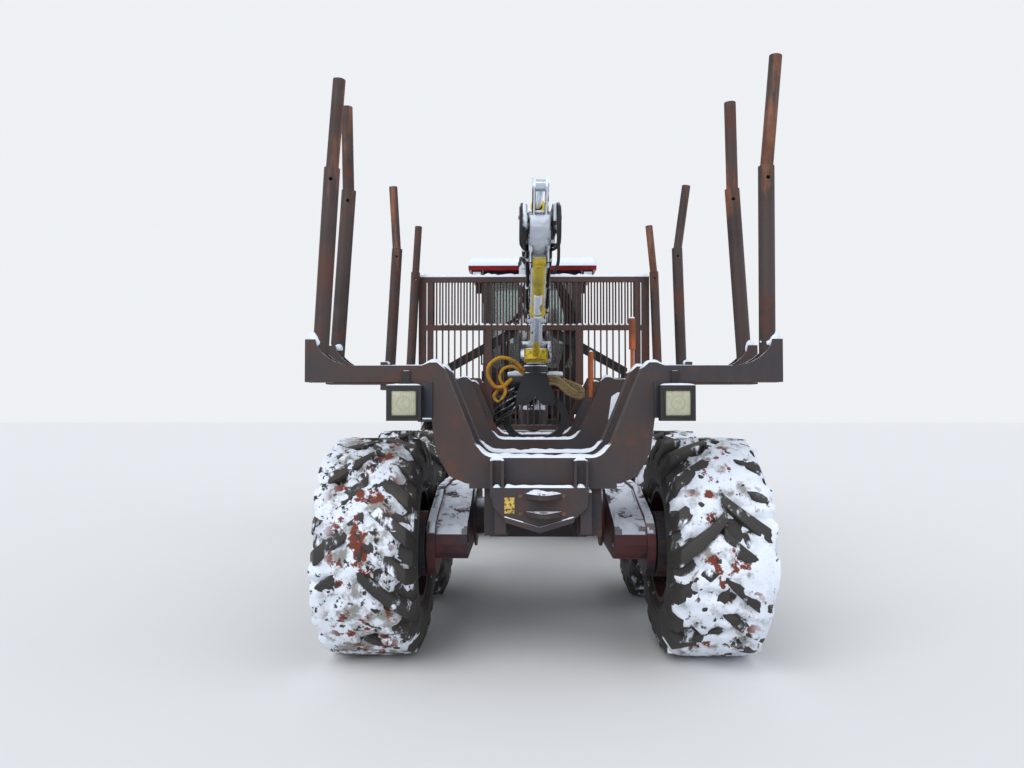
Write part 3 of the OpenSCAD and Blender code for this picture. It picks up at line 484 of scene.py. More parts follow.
@dataclass(frozen=True)
class CabPaint(WornPaint):
    """Cab paint: black above the sill; below it the red of the body, except on rearward faces, where only a
    band under the windows is red.

    Attributes:
        band: Lowest and highest point of the red band at the rear.
        sill: Height above which the cab is black.
    """

    band: Pair = (1.69, 1.79)
    sill: float = 1.95

    def coat(self, nodes: Nodes) -> object:
        """Returns the paint by height and by the side that a face is on.

        Args:
            nodes: The material's nodes.

        Returns:
            A colour or a socket.
        """
        height = nodes.axes()["Z"]
        low = nodes.math("LESS_THAN", height, self.sill)
        bottom, top = self.band
        above, below = nodes.math("GREATER_THAN", height, bottom), nodes.math("LESS_THAN", height, top)
        side = nodes.math("GREATER_THAN", nodes.axes("Normal")["Y"], -0.5)
        red = nodes.times(low, nodes.most(nodes.times(above, below), side))
        return nodes.mix(red, Tint.BLACK.value, self.colour)


@dataclass(frozen=True)
class StakePaint(WornPaint):
    """Paint of the stakes, whose upper tubes have rusted lighter in long streaks.

    Attributes:
        joint: Height at which the upper tubes start.
    """

    joint: float = 2.62

    def coat(self, nodes: Nodes) -> object:
        """Returns the paint by height, streaked with light rust.

        Args:
            nodes: The material's nodes.

        Returns:
            A colour or a socket.
        """
        upper = nodes.ramp(nodes.axes()["Z"], self.joint, self.joint + 0.1)
        streak = nodes.ramp(nodes.noise(13.0, 5.0, stretch=(1.0, 1.0, 0.12), offset=6.6), 0.5, 0.64)
        return nodes.mix(nodes.times(upper, streak), self.colour, Tint.RUST_LIGHT.value)


@dataclass(frozen=True)
class FlakedPaint(WornPaint):
    """Paint that has flaked off in small spots."""

    def coat(self, nodes: Nodes) -> object:
        """Returns the paint with bare spots."""
        return nodes.mix(nodes.ramp(nodes.noise(75.0, 5.0), 0.5, 0.58), self.colour, Tint.BUNK.value)


@dataclass(frozen=True)
class BlockedRod(Finish):
    """A plated rod whose lower end block is painted yellow.

    Attributes:
        split: Height of the block's top at rest.
    """

    split: float = 2.0

    def paint(self, nodes: Nodes, shader: bpy.types.Node) -> None:
        """Paints the block, keeps the rod plated and puts snow on top.

        Args:
            nodes: The material's nodes.
            shader: The Principled node.
        """
        block = nodes.math("LESS_THAN", nodes.axes()["Z"], self.split)
        stain = nodes.times(nodes.ramp(nodes.noise(30.0, 6.0), 0.48, 0.66), 0.75)
        yellow = nodes.mix(stain, linear(206, 176, 30), Tint.RUST_DARK.value)
        base = nodes.mix(block, Tint.ROD.value, yellow)
        snowy = nodes.times(block, Effects.cover(nodes, 0.7))
        nodes.put(
            shader, Base_Color=nodes.mix(snowy, base, Tint.SNOW.value),
            Metallic=nodes.times(nodes.minus(1.0, block), 0.75),
            Roughness=nodes.plus(nodes.times(block, 0.3), 0.24),
        )


@dataclass(frozen=True)
class Metal(Finish):
    """Bare or plated metal with fine scratches.

    Attributes:
        colour: The metal.
        rough: Mean roughness.
        grime: Share of dark stain from 0 to 1.
    """

    colour: Colour
    rough: float = 0.25
    grime: float = 0.3

    def paint(self, nodes: Nodes, shader: bpy.types.Node) -> None:
        """Stains the metal and varies its gloss.

        Args:
            nodes: The material's nodes.
            shader: The Principled node.
        """
        stain = nodes.ramp(nodes.noise(18.0, 6.0), 0.5, 0.75)
        share = nodes.times(stain, self.grime)
        scratch = nodes.noise(90.0, 3.0, stretch=(1.0, 0.05, 1.0))
        spread = nodes.plus(nodes.times(scratch, 0.2), self.rough - 0.1)
        nodes.put(
            shader, Base_Color=nodes.mix(share, self.colour, Tint.RUST_DARK.value), Metallic=0.9,
            Roughness=nodes.plus(spread, nodes.times(share, 0.4)),
        )


@dataclass(frozen=True)
class Rubber(Finish):
    """Tyre or hose rubber, dusty, with mud, leaves and snow packed on it.

    Attributes:
        colour: The rubber.
        mud: Share of mud from 0 to 1.
        leaves: Share of red and olive leaf patches from 0 to 1.
        snow: How much snow lies on upward faces, from 0 to 1.
        drift: How much snow the wind blew onto faces that look back, from 0 to 1.
    """

    colour: Colour
    mud: float = 0.4
    leaves: float = 0.0
    snow: float = 0.0
    drift: float = 0.0

    def paint(self, nodes: Nodes, shader: bpy.types.Node) -> None:
        """Layers rubber, mud, leaves and snow.

        Args:
            nodes: The material's nodes.
            shader: The Principled node.
        """
        mud = nodes.ramp(nodes.plus(nodes.noise(9.0, 7.0), self.mud), 0.78, 1.12)
        base = nodes.mix(nodes.times(mud, 0.75), self.colour, Tint.MUD.value)
        if self.leaves:
            patch = nodes.ramp(nodes.plus(nodes.noise(15.0, 2.0, offset=3.7), self.leaves), 0.98, 1.06)
            kind = nodes.ramp(nodes.noise(6.0, 2.0, offset=5.9), 0.46, 0.54)
            base = nodes.mix(patch, base, nodes.mix(kind, Tint.LEAF.value, Tint.MOSS.value))
        if self.snow or self.drift:
            base = nodes.mix(Effects.cover(nodes, self.snow, self.drift), base, Tint.SNOW.value)
        nodes.put(shader, Base_Color=base, Roughness=nodes.plus(nodes.times(mud, 0.2), 0.62))
        self.bump(nodes, shader, nodes.noise(120.0, 4.0), 0.0015)


@dataclass(frozen=True)
class Snow(Finish):
    """Packed snow, with leaves and mud in it.

    Attributes:
        dirt: Share of leaves, slush and mud from 0 to 1.
        track: Distance of the tread's middle from the machine's middle.
    """

    dirt: float = 0.0
    track: float = 1.0

    def paint(self, nodes: Nodes, shader: bpy.types.Node) -> None:
        """Mixes snow with dirt and gives it a soft grain.

        Args:
            nodes: The material's nodes.
            shader: The Principled node.
        """
        tone = nodes.noise(24.0, 5.0)
        base = nodes.mix(nodes.times(tone, 0.35), Tint.SNOW.value, linear(196, 206, 222))
        if self.dirt:
            aside = nodes.minus(nodes.math("ABSOLUTE", nodes.axes()["X"]), self.track)
            middle = nodes.ramp(nodes.math("ABSOLUTE", aside), 0.26, 0.12)
            for scale, detail, offset, low, high, share, tint in (
                (9.0, 3.0, 4.9, 0.86, 1.03, 0.8, Tint.SLUSH), (10.0, 5.0, 1.7, 0.95, 1.0, 1.0, Tint.LEAF),
            ):
                spread = nodes.plus(nodes.noise(scale, detail, offset=offset), self.dirt)
                patch = nodes.ramp(spread, low, high)
                base = nodes.mix(nodes.times(nodes.times(patch, middle), share), base, tint.value)
            specks = nodes.ramp(nodes.plus(nodes.noise(19.0, 6.0, offset=6.1), self.dirt), 0.98, 1.03)
            base = nodes.mix(specks, base, Tint.RUBBER.value)
        nodes.put(shader, Base_Color=base, Roughness=0.8)
        self.bump(nodes, shader, nodes.noise(70.0, 5.0), 0.004)


@dataclass(frozen=True)
class Pane(Finish):
    """Clear tinted glass.

    Attributes:
        colour: Tint of the glass.
        rough: Roughness of its surface.
    """

    colour: Colour
    rough: float = 0.05

    def paint(self, nodes: Nodes, shader: bpy.types.Node) -> None:
        """Sets transmission and a faint smear in the gloss."""
        rough = nodes.plus(nodes.times(nodes.noise(5.0, 4.0), 0.12), self.rough)
        nodes.put(shader, Base_Color=self.colour, Transmission_Weight=0.9, IOR=1.45, Roughness=rough)


@dataclass(frozen=True)
class Woven(Finish):
    """Seat cloth or a hose's braided or spiral guard.

    Attributes:
        colour: The thread.
        scale: Weave cells for each metre.
    """

    colour: Colour
    scale: float = 300.0

    def paint(self, nodes: Nodes, shader: bpy.types.Node) -> None:
        """Weaves two tones and lifts the threads.

        Args:
            nodes: The material's nodes.
            shader: The Principled node.
        """
        weave = nodes.noise(self.scale, 2.0)
        stain = nodes.ramp(nodes.noise(20.0, 5.0, offset=3.3), 0.45, 0.7)
        base = nodes.mix(nodes.times(weave, 0.5), self.colour, darker(self.colour, 0.55))
        base = nodes.mix(nodes.times(stain, 0.5), base, Tint.BLACK.value)
        nodes.put(shader, Base_Color=base, Roughness=0.85)
        self.bump(nodes, shader, weave, 0.0008)


@dataclass(frozen=True)
class Lens(Finish):
    """Cream lamp glass, smeared, with the reflector's ring showing through it.

    Attributes:
        colour: The lens.
        middle: The middle of the lens.
        ring: Radius of the reflector's ring.
    """

    colour: Colour
    middle: Point = (0.0, 0.0, 0.0)
    ring: float = 0.036

    def paint(self, nodes: Nodes, shader: bpy.types.Node) -> None:
        """Darkens the lens in a faint ring and in smears, and ribs it.

        Args:
            nodes: The material's nodes.
            shader: The Principled node.
        """
        ribs = nodes.add("ShaderNodeTexWave", wave_type="BANDS", bands_direction="X")
        nodes.put(ribs, Vector=nodes.add("ShaderNodeTexCoord").outputs["Object"], Scale=22.0)
        place = nodes.axes()
        aside, above = nodes.minus(place["X"], self.middle[0]), nodes.minus(place["Z"], self.middle[2])
        radius = nodes.math("SQRT", nodes.plus(nodes.times(aside, aside), nodes.times(above, above)))
        ring = nodes.ramp(nodes.math("ABSOLUTE", nodes.minus(radius, self.ring)), 0.010, 0.0)
        smear = nodes.ramp(nodes.noise(26.0, 5.0), 0.4, 0.75)
        smear = nodes.most(nodes.times(smear, 0.5), nodes.times(ring, 0.42))
        base = nodes.mix(smear, self.colour, darker(self.colour, 0.5))
        nodes.put(shader, Base_Color=base, Roughness=0.18, Coat_Weight=0.6)
        self.bump(nodes, shader, ribs.outputs["Fac"], 0.001)


@dataclass(frozen=True)
class Floor(Finish):
    """A plain matt floor.

    Attributes:
        colour: The floor.
    """

    colour: Colour

    def paint(self, nodes: Nodes, shader: bpy.types.Node) -> None:
        """Sets one pale colour."""
        nodes.put(shader, Base_Color=self.colour, Roughness=0.9)


CLEAN_SNOW = Snow(name="snow_clean")
TYRE_RUBBER = Rubber(
    name="tyre_rubber", colour=Tint.RUBBER.value, mud=0.26, leaves=0.2, snow=0.3, drift=0.42
)

# Building tools


def turn_to(axis: Vector) -> Matrix:
    """Returns the rotation that takes the Z axis to an axis."""
    return axis.normalized().to_track_quat("Z", "Y").to_matrix().to_4x4()


def extent(points: list[Vector]) -> tuple[Vector, Vector]:
    """Returns the lowest and the highest corner round some points."""
    low, high = (Vector([pick(p[i] for p in points) for i in range(3)]) for pick in (min, max))
    return low, high


def surface(data: bpy.types.Mesh, turn: Matrix | None = None) -> BVHTree:
    """Returns a mesh's surface for dropping points on it, turned first when a turn is given."""
    places = [turn @ v.co if turn else v.co for v in data.vertices]
    return BVHTree.FromPolygons(places, [p.vertices for p in data.polygons])


def show(name: str, data: bpy.types.ID) -> bpy.types.Object:
    """Links a new object to the scene.

    Args:
        name: The object's name.
        data: Its mesh, curve, lamp or camera.

    Returns:
        The object.
    """
    made = bpy.data.objects.new(name, data)
    bpy.context.scene.collection.objects.link(made)
    return made


@dataclass
class Piece:
    """A piece while it is built, as one bmesh in metres.

    Attributes:
        name: The piece's name in the scene.
        body: The body that it rides on, empty for a piece that bends between two.
        mesh: The geometry so far.
    """

    name: str
    # body: The body that it rides on, empty for a piece that rides on none.
    body: str
    mesh: bmesh.types.BMesh = field(default_factory=bmesh.new)

    def block(self, low: Point, high: Point, round_off: float = 0.0) -> None:
        """Adds a box between two corners.

        Args:
            low: Lowest corner.
            high: Highest corner.
            round_off: Bevel of its edges.
        """
        size = Vector(high) - Vector(low)
        place = Matrix.Translation((Vector(low) + Vector(high)) / 2) @ Matrix.Diagonal((*size, 1.0))
        made = bmesh.ops.create_cube(self.mesh, size=1.0, matrix=place)
        if round_off:
            self.bevel({e for v in made["verts"] for e in v.link_edges}, round_off)

    def flank(self, near: float, far: float, low: Pair, high: Pair, round_off: float = 0.0) -> None:
        """Adds a box between two distances along X, whichever of them is the lower.

        Args:
            near: One end along X.
            far: The other end along X.
            low: Lowest y and z.
            high: Highest y and z.
            round_off: Bevel of its edges.
        """
        left, right = sorted((near, far))
        self.block((left, *low), (right, *high), round_off)

    def rod(
        self, start: Point, end: Point, radius: float, sides: int = 20, tip: float | None = None
    ) -> None:
        """Adds a round rod or cone.

        Args:
            start: Centre of one end.
            end: Centre of the other end.
            radius: Radius at the start.
            sides: Facets round it.
            tip: Radius at the end, the same when left out.
        """
        way = Vector(end) - Vector(start)
        place = Matrix.Translation((Vector(start) + Vector(end)) / 2) @ turn_to(way)
        bmesh.ops.create_cone(
            self.mesh, cap_ends=True, segments=sides, radius1=radius,
            radius2=radius if tip is None else tip, depth=way.length, matrix=place,
        )

    def bolt(self, place: Point, axis: Point, size: float = 0.012) -> None:
        """Adds a hexagon head on a washer.

        Args:
            place: Where the washer sits.
            axis: Direction out of the surface.
            size: Radius of the head.
        """
        out = Vector(axis).normalized()
        seat = Vector(place)
        self.rod(seat - out * 0.002, seat + out * size * 0.3, size * 1.35, 16)
        self.rod(seat + out * size * 0.3, seat + out * size * 1.05, size, 6)

    def lathe(self, outline: list[Pair], centre: Point, axis: Point, steps: int = 64) -> None:
        """Spins a closed outline round an axis.

        Args:
            outline: Points as distance along the axis and radius.
            centre: A point on the axis.
            axis: Direction of the axis.
            steps: Facets round it.
        """
        along = Vector(axis).normalized()
        out = along.orthogonal().normalized()
        centre = Vector(centre)
        ring = [self.mesh.verts.new(centre + along * a + out * r) for a, r in outline]
        edges = [self.mesh.edges.new((ring[i], ring[(i + 1) % len(ring)])) for i in range(len(ring))]
        bmesh.ops.spin(
            self.mesh, geom=ring + edges, cent=centre, axis=along, angle=math.tau, steps=steps,
            use_merge=True,
        )

    def bevel(self, edges: Iterable[bmesh.types.BMEdge], offset: float, clamp: bool = False) -> None:
        """Rounds some edges.

        Args:
            edges: The edges.
            offset: How far from an edge its round starts.
            clamp: True to keep the rounds from overlapping.
        """
        bmesh.ops.bevel(
            self.mesh, geom=list(edges), offset=offset, segments=2, profile=0.5, affect="EDGES", material=-1,
            clamp_overlap=clamp,
        )

    def done(self, finish: Finish, *replaced: str, smooth: float = 35.0) -> bpy.types.Object:
        """Turns the bmesh into an object that rides on its body.

        Args:
            finish: The piece's finish.
            replaced: CAD nodes that it stands for.
            smooth: Angle in degrees below which edges look round.

        Returns:
            The object.
        """
        bmesh.ops.remove_doubles(self.mesh, verts=self.mesh.verts, dist=0.00005)
        bmesh.ops.recalc_face_normals(self.mesh, faces=self.mesh.faces)
        for face in self.mesh.faces:
            face.smooth = True
        for edge in self.mesh.edges:
            edge.smooth = edge.is_manifold and edge.calc_face_angle(0.0) < math.radians(smooth)
        data = bpy.data.meshes.new(self.name)
        self.mesh.to_mesh(data)
        self.mesh.free()
        data.materials.append(finish.material())
        made = show(self.name, data)
        if self.body:
            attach(made, self.body)
        if replaced:
            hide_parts(*replaced)
        log.info("%s: %d faces", self.name, len(data.polygons))
        return made


def smooth_path(points: list[Point], count: int) -> list[Vector]:
    """Draws a smooth curve through a few points.

    Args:
        points: The points it passes, in order.
        count: Samples between each two points.

    Returns:
        The samples, from the first point to the last.
    """
    ends = [Vector(p) for p in points]
    ends = [ends[0] * 2 - ends[1], *ends, ends[-1] * 2 - ends[-2]]
    path = []
    for a, b, c, d in zip(ends, ends[1:], ends[2:], ends[3:]):
        for step in range(count):
            t = step / count
            square, cube = (a * 2 - b * 5 + c * 4 - d) * t**2, (b * 3 - a - c * 3 + d) * t**3
            path.append((b * 2 + (c - a) * t + square + cube) / 2)
    return [*path, ends[-2]]


def coil_round(path: list[Vector], radius: float, pitch: float) -> list[Vector]:
    """Winds a helix round a path.

    Args:
        path: The path's samples.
        radius: Distance of the helix from the path.
        pitch: Length of a turn along the path.

    Returns:
        The helix's samples.
    """
    wound, angle = [], 0.0
    side = (path[1] - path[0]).orthogonal().normalized()
    for start, end in zip(path, path[1:]):
        way = end - start
        along = way.normalized()
        side = (side - along * side.dot(along)).normalized()
        cuts = max(1, math.ceil(way.length / pitch * 10))
        for step in range(cuts):
            angle += math.tau * way.length / cuts / pitch
            spoke = side * math.cos(angle) + along.cross(side) * math.sin(angle)
            wound.append(start + way * (step / cuts) + spoke * radius)
    return wound


def tube(
    name: str, body: str, paths: list[list[Vector]], radius: float, finish: Finish, sides: int = 2
) -> bpy.types.Object:
    """Makes round tubes along paths, as one piece.

    Args:
        name: The piece's name.
        body: The body that it rides on.
        paths: Samples of each tube's centre line.
        radius: Radius of the tubes.
        finish: Their finish.
        sides: Steps in a quarter of the section.

    Returns:
        The object.
    """
    line = bpy.data.curves.new(name, "CURVE")
    line.dimensions, line.bevel_depth, line.bevel_resolution, line.use_fill_caps = "3D", radius, sides, True
    for path in paths:
        spline = line.splines.new("POLY")
        spline.points.add(len(path) - 1)
        for point, place in zip(spline.points, path):
            point.co = (*place, 1.0)
    drawn = show(name + "_line", line)
    bpy.context.view_layer.update()
    shape = drawn.evaluated_get(bpy.context.evaluated_depsgraph_get())
    piece = Piece(name, body)
    piece.mesh.from_mesh(bpy.data.meshes.new_from_object(shape))
    bpy.data.objects.remove(drawn)
    lengths = [sum((b - a).length for a, b in zip(path, path[1:])) for path in paths]
    log.info("%s: %d of %.2f to %.2f m", name, len(paths), min(lengths), max(lengths))
    return piece.done(finish, smooth=60.0)


@dataclass
class Cap:
    """Snow that lies on a node's upward faces or that the wind blew on, as a closed layer on a grid.

    Attributes:
        node: The CAD node that it lies on.
        body: The body that it rides on.
        depth: Thickness in the middle of the layer.
        step: Size of the grid's cells.
        share: How much of the top is covered, from 0 to 1.
        low: Lowest corner of the part that is covered, the node's own when left out.
        high: Highest corner of that part.
        tilt: Least part of a face's normal along the aim.
        aim: Where the covered faces look.
        label: Name of the layer where a node has more than one.
        bite: How far the layer's underside sinks into the node.
    """

    node: str
    body: str
    depth: float = 0.02
    step: float = 0.015
    share: float = 0.8
    low: Point | None = None
    high: Point | None = None
    tilt: float = 0.6
    aim: Point = (0.0, 0.0, 1.0)
    label: str = ""
    bite: float = 0.0015

    def build(self, nodes: dict[str, bpy.types.Object]) -> None:
        """Drops a grid on the node, keeps what lands on a face, and gives it a rounded thickness.

        Args:
            nodes: The CAD nodes by name.
        """
        floor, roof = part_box(self.node)
        ends = Vector(self.low or floor), Vector(self.high or roof)
        turn = Vector(self.aim).normalized().rotation_difference(Vector((0.0, 0.0, 1.0))).to_matrix()
        corners = itertools.product(*zip(*ends))
        low, high = extent([turn @ Vector(corner) for corner in corners])
        piece = Piece(f"snow_{self.label or self.node}", self.body)
        self.drop(piece.mesh, surface(nodes[self.node].data, turn), low, high)
        if len(piece.mesh.faces) < 4:
            piece.mesh.free()
            log.info("no snow lies on %s", self.node)
            return
        self.thicken(piece.mesh)
        bmesh.ops.transform(piece.mesh, matrix=turn.inverted().to_4x4(), verts=piece.mesh.verts)
        piece.done(CLEAN_SNOW, smooth=80.0)

    def drop(self, mesh: bmesh.types.BMesh, tree: BVHTree, low: Vector, high: Vector) -> None:
        """Drops a grid on a surface and deletes what misses it, stands too steep or lies in a bare patch.

        Args:
            mesh: The bmesh that takes the grid.
            tree: The surface.
            low: Lowest corner of the part that is covered.
            high: Highest corner of that part.
        """
        across, along = (max(2, math.ceil((high[i] - low[i]) / self.step)) for i in (0, 1))
        centre = Matrix.Translation(((low.x + high.x) / 2, (low.y + high.y) / 2, 0.0))
        scale = Matrix.Diagonal((high.x - low.x, high.y - low.y, 1.0, 1.0))
        bmesh.ops.create_grid(mesh, x_segments=across, y_segments=along, size=0.5, matrix=centre @ scale)
        missed = []
        for vert in mesh.verts:
            spot = Vector((vert.co.x, vert.co.y, high.z + 0.02))
            hit, normal, _, _ = tree.ray_cast(spot, Vector((0.0, 0.0, -1.0)))
            patch = noise.noise(vert.co * 5.0) * 0.5 + noise.noise(vert.co * 17.0) * 0.3 + 0.5
            if hit is None or normal.z < self.tilt or hit.z < low.z - 0.001 or patch > self.share + 0.1:
                missed.append(vert)
            else:
                vert.co.z = hit.z
        bmesh.ops.delete(mesh, geom=missed, context="VERTS")
        spans = {f: [v.co.z for v in f.verts] for f in mesh.faces}
        steep = [f for f, heights in spans.items() if max(heights) - min(heights) > self.step * 1.6]
        bmesh.ops.delete(mesh, geom=steep, context="FACES")
        bmesh.ops.delete(mesh, geom=[v for v in mesh.verts if not v.link_faces], context="VERTS")

    def thicken(self, mesh: bmesh.types.BMesh) -> None:
        """Raises a layer on the sheet of faces, thin at its rim and full further in.

        Args:
            mesh: The sheet.
        """
        rings = {v: 0 for v in mesh.verts if v.is_boundary}
        edge = list(rings)
        while edge:
            inner = [e.other_vert(v) for v in edge for e in v.link_edges if e.other_vert(v) not in rings]
            for vert in inner:
                near = [e.other_vert(vert) for e in vert.link_edges]
                rings[vert] = min(rings[v] for v in near if v in rings) + 1
            edge = list(dict.fromkeys(inner))
        lift = {}
        for vert, ring in rings.items():
            grain = 0.75 + 0.5 * noise.noise(vert.co * 23.0)
            lift[tuple(vert.co)] = self.depth * grain * (1.0 - 0.8 * math.exp(-ring * self.step / 0.012))
        top = bmesh.ops.extrude_face_region(mesh, geom=list(mesh.faces), use_keep_orig=True)
        raised = [g for g in top["geom"] if isinstance(g, bmesh.types.BMVert)]
        for vert in raised:
            vert.co.z += lift.get(tuple(vert.co), 0.0)
        for vert in set(mesh.verts) - set(raised):
            vert.co.z -= self.bite
        bmesh.ops.smooth_vert(mesh, verts=raised, factor=0.35, use_axis_z=True)


# Wheels

PACKED_DIRT = {Side.LEFT: 0.42, Side.RIGHT: 0.37}
# Radius of a ring of nuts, how many stand in it and the radius of a nut
NUT_RINGS = ((0.165, 10, 0.017), (0.075, 8, 0.011))
# Half of the carcass section: part of the half width, part of the wall's height, metres above that
WALL_SECTION = (
    (0.93, 0.80, 0.0), (0.975, 0.62, 0.0), (0.985, 0.45, 0.0), (0.95, 0.27, 0.0), (0.93, 0.25, 0.0),
    (0.92, 0.20, 0.0), (0.90, 0.18, 0.0), (0.80, 0.0, 0.012), (0.76, 0.0, 0.002),
)


@dataclass
class Wheel:
    """A tyre that replaces its CAD node, with packed snow in the tread and nuts on the hub.

    Attributes:
        row: The row that it is in.
        side: The side that it is on.
        lugs: Lugs on each half of the tread.
        lug_height: How far the lugs stand above the carcass.
        slant: How far a lug runs round the tyre, in parts of the lug spacing.
        bend: Where along a lug it turns down over the shoulder, from 0 to 1.
        bend_drop: How far its end drops from there.
        root: How deep a lug is rooted in the carcass.
        round_off: Bevel of the lugs' edges.
        crown_fall: How far the crown falls to the shoulder, as a part of half the tyre's width.
        lug_gain: How much more a lug stands at the shoulder, as a part of half the tyre's width.
        bead: Radius at which the carcass meets the rim.
        band: Width of the band of packed snow, as a part of the tyre's width.
        columns: Points across that band.
    """

    row: Row
    side: Side
    lugs: int = 19
    lug_height: float = 0.05
    slant: float = 1.25
    bend: float = 0.86
    bend_drop: float = 0.075
    root: float = 0.02
    round_off: float = 0.007
    crown_fall: float = 0.16
    lug_gain: float = 0.115
    bead: float = 0.338
    band: float = 0.94
    columns: int = 19

    def __post_init__(self) -> None:
        """Reads the wheel's size from the frame."""
        self.label = f"{self.row.value}_{self.side.value}"
        self.body = f"wheel_{self.label}"
        low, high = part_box(f"tyre_{self.label}")
        self.centre = (low + high) / 2
        self.radius = (high.z - low.z) / 2
        self.half = (high.x - low.x) / 2
        self.inner = self.radius - self.lug_height

    def crown(self, x: float) -> float:
        """Returns the carcass radius at a distance from the middle of the tread."""
        return self.inner - self.crown_fall * self.half * min(1.0, abs(x) / self.half) ** 3

    def gain(self, x: float) -> float:
        """Returns how much higher than on the crown a lug stands at a distance from the middle."""
        return self.lug_gain * self.half * min(1.0, abs(x) / self.half) ** 3

    def carcass(self) -> None:
        """Spins the carcass with its sidewall rings, adds the lugs and bevels them."""
        piece = Piece(f"tyre_{self.label}_tread", self.body)
        wall = self.inner - self.bead
        half = [(part, self.crown(part * self.half)) for part in (0.0, 0.35, 0.62, 0.82)]
        half += [(part, self.bead + wall * share + extra) for part, share, extra in WALL_SECTION]
        outline = [(x * self.half, r) for x, r in half]
        outline += [(-x, r) for x, r in reversed(outline[1:])]
        piece.lathe(outline, self.centre, (1.0, 0.0, 0.0), 96)
        lugs = Piece("lugs", "")
        for number in range(self.lugs):
            for half_side, shift in ((-1.0, 0.5), (1.0, 0.0)):
                self.lug(lugs.mesh, (number + shift) * math.tau / self.lugs, half_side)
        limit = math.radians(40)
        sharp = [e for e in lugs.mesh.edges if e.is_manifold and e.calc_face_angle(0.0) > limit]
        lugs.bevel(sharp, self.round_off, clamp=True)
        joined = bpy.data.meshes.new("lugs")
        lugs.mesh.to_mesh(joined)
        lugs.mesh.free()
        piece.mesh.from_mesh(joined)
        bpy.data.meshes.remove(joined)
        piece.done(TYRE_RUBBER, f"tyre_{self.label}", smooth=32.0)

    def lug(self, mesh: bmesh.types.BMesh, start: float, half_side: float) -> None:
        """Bends a cut cube into one lug from the middle of the tread to over the shoulder.

        Args:
            mesh: The bmesh that takes the lug.
            start: Angle of its inner end.
            half_side: Which half of the tread, -1 or 1.
        """
        first = len(mesh.verts)
        made = bmesh.ops.create_cube(mesh, size=1.0)["verts"]
        round_it = {e for v in made for e in v.link_edges}
        long_edges = [e for e in round_it if abs(e.verts[0].co.x - e.verts[1].co.x) > 0.5]
        bmesh.ops.subdivide_edges(mesh, edges=long_edges, cuts=6)
        mesh.verts.ensure_lookup_table()
        pitch = math.tau / self.lugs
        for vert in mesh.verts[first:]:
            run, side, top = max(0.0, vert.co.x + 0.5), vert.co.y, vert.co.z > 0
            across = self.half * (-0.04 + 1.02 * run)
            fall = max(0.0, run - self.bend) / (1.0 - self.bend)
            radius = self.crown(min(across, self.half * 0.97)) - self.bend_drop * fall**1.5
            width = pitch * (0.40 + 0.14 * run) * (0.86 if top else 1.08)
            angle = start + pitch * self.slant * (run**0.85) + side * width
            radius += self.lug_height - self.round_off + self.gain(across) if top else -self.root
            radius -= 0.018 * fall if top else 0.0
            up, back = radius * math.cos(angle), radius * math.sin(angle)
            vert.co = self.centre + Vector((half_side * across, -back, up))

    def packed_snow(self, share: float) -> None:
        """Spins a band of snow between the lugs and lets noise sink it under the carcass in places.

        Args:
            share: How much of the tread is packed, from 0 to 1.
        """
        piece = Piece(f"snow_tread_{self.label}", self.body)
        steps = self.columns - 1
        outline = [(self.half * self.band * (2 * i / steps - 1), self.inner) for i in range(self.columns)]
        outline += [(side * self.half * 0.7, self.inner - 0.11) for side in (1.0, -1.0)]
        piece.lathe(outline, self.centre, (1.0, 0.0, 0.0), 190)
        bottom = self.inner - 0.1
        for vert in piece.mesh.verts:
            spoke = vert.co - self.centre
            x = spoke.x
            spoke.x = 0.0
            if spoke.length < bottom:
                continue
            fine = noise.noise(vert.co * 15.0 + Vector((3, 1, 7)))
            patch = noise.noise(vert.co * 4.3) * 0.55 + fine * 0.45
            shoulder = max(0.0, abs(x) / self.half - 0.76) / 0.18
            inward = max(0.0, -self.side.out * x / self.half - 0.3) / 0.36
            rise = 0.004 + (patch + share - 0.5) * 0.15 - 0.03 * shoulder**2 - 0.03 * inward**2
            rise = max(-0.03, min(self.lug_height - 0.003, rise)) + 0.004 * noise.noise(vert.co * 55.0)
            spoke.length = self.crown(x) + rise + self.gain(x) * min(1.0, max(0.0, rise / self.lug_height))
            vert.co = self.centre + Vector((x, 0.0, 0.0)) + spoke
        name, dirt = f"snow_packed_{self.side.value}", PACKED_DIRT[self.side]
        piece.done(Snow(name=name, dirt=dirt, track=abs(self.centre.x)), smooth=80.0)

    def hub(self) -> None:
        """Adds two rings of nuts with their studs on the outside of the rim."""
        piece = Piece(f"hub_nuts_{self.label}", self.body)
        rim = f"rim_{self.label}"
        low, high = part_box(rim)
        tree = surface(bpy.data.objects[rim].data)
        out = Vector((self.side.out, 0.0, 0.0))
        start_x = (high.x if self.side is Side.RIGHT else low.x) + out.x * 0.05
        for ring, count, size in NUT_RINGS:
            for number in range(count):
                angle = math.tau * number / count
                spot = self.centre + Vector((0.0, math.cos(angle) * ring, math.sin(angle) * ring))
                spot.x = start_x
                hit, _, _, _ = tree.ray_cast(spot, -out)
                if hit is not None:
                    piece.bolt(hit, out, size)
                    piece.rod(hit, hit + out * size * 1.9, size * 0.5, 10)
        piece.done(Metal(name="hub_steel", colour=linear(96, 84, 78), rough=0.55, grime=0.8))


# Places on the frame

# The lamps' x and z, the ends of the plates beside them along X, and each bunk's place ahead of the bogies
LAMPS = {Side.LEFT: (-0.746, 1.54), Side.RIGHT: (0.716, 1.54)}
LAMP_PLATES = {Side.LEFT: (-0.66, -0.60), Side.RIGHT: (0.60, 0.63)}
BUNKS_AHEAD = (-1.31, -0.86, 0.92, 2.07)
# The x and the z of the bolts on the end plate
HITCH_BOLTS = (-0.1224, -0.0864, 0.0864, 0.108), (1.045, 0.950)


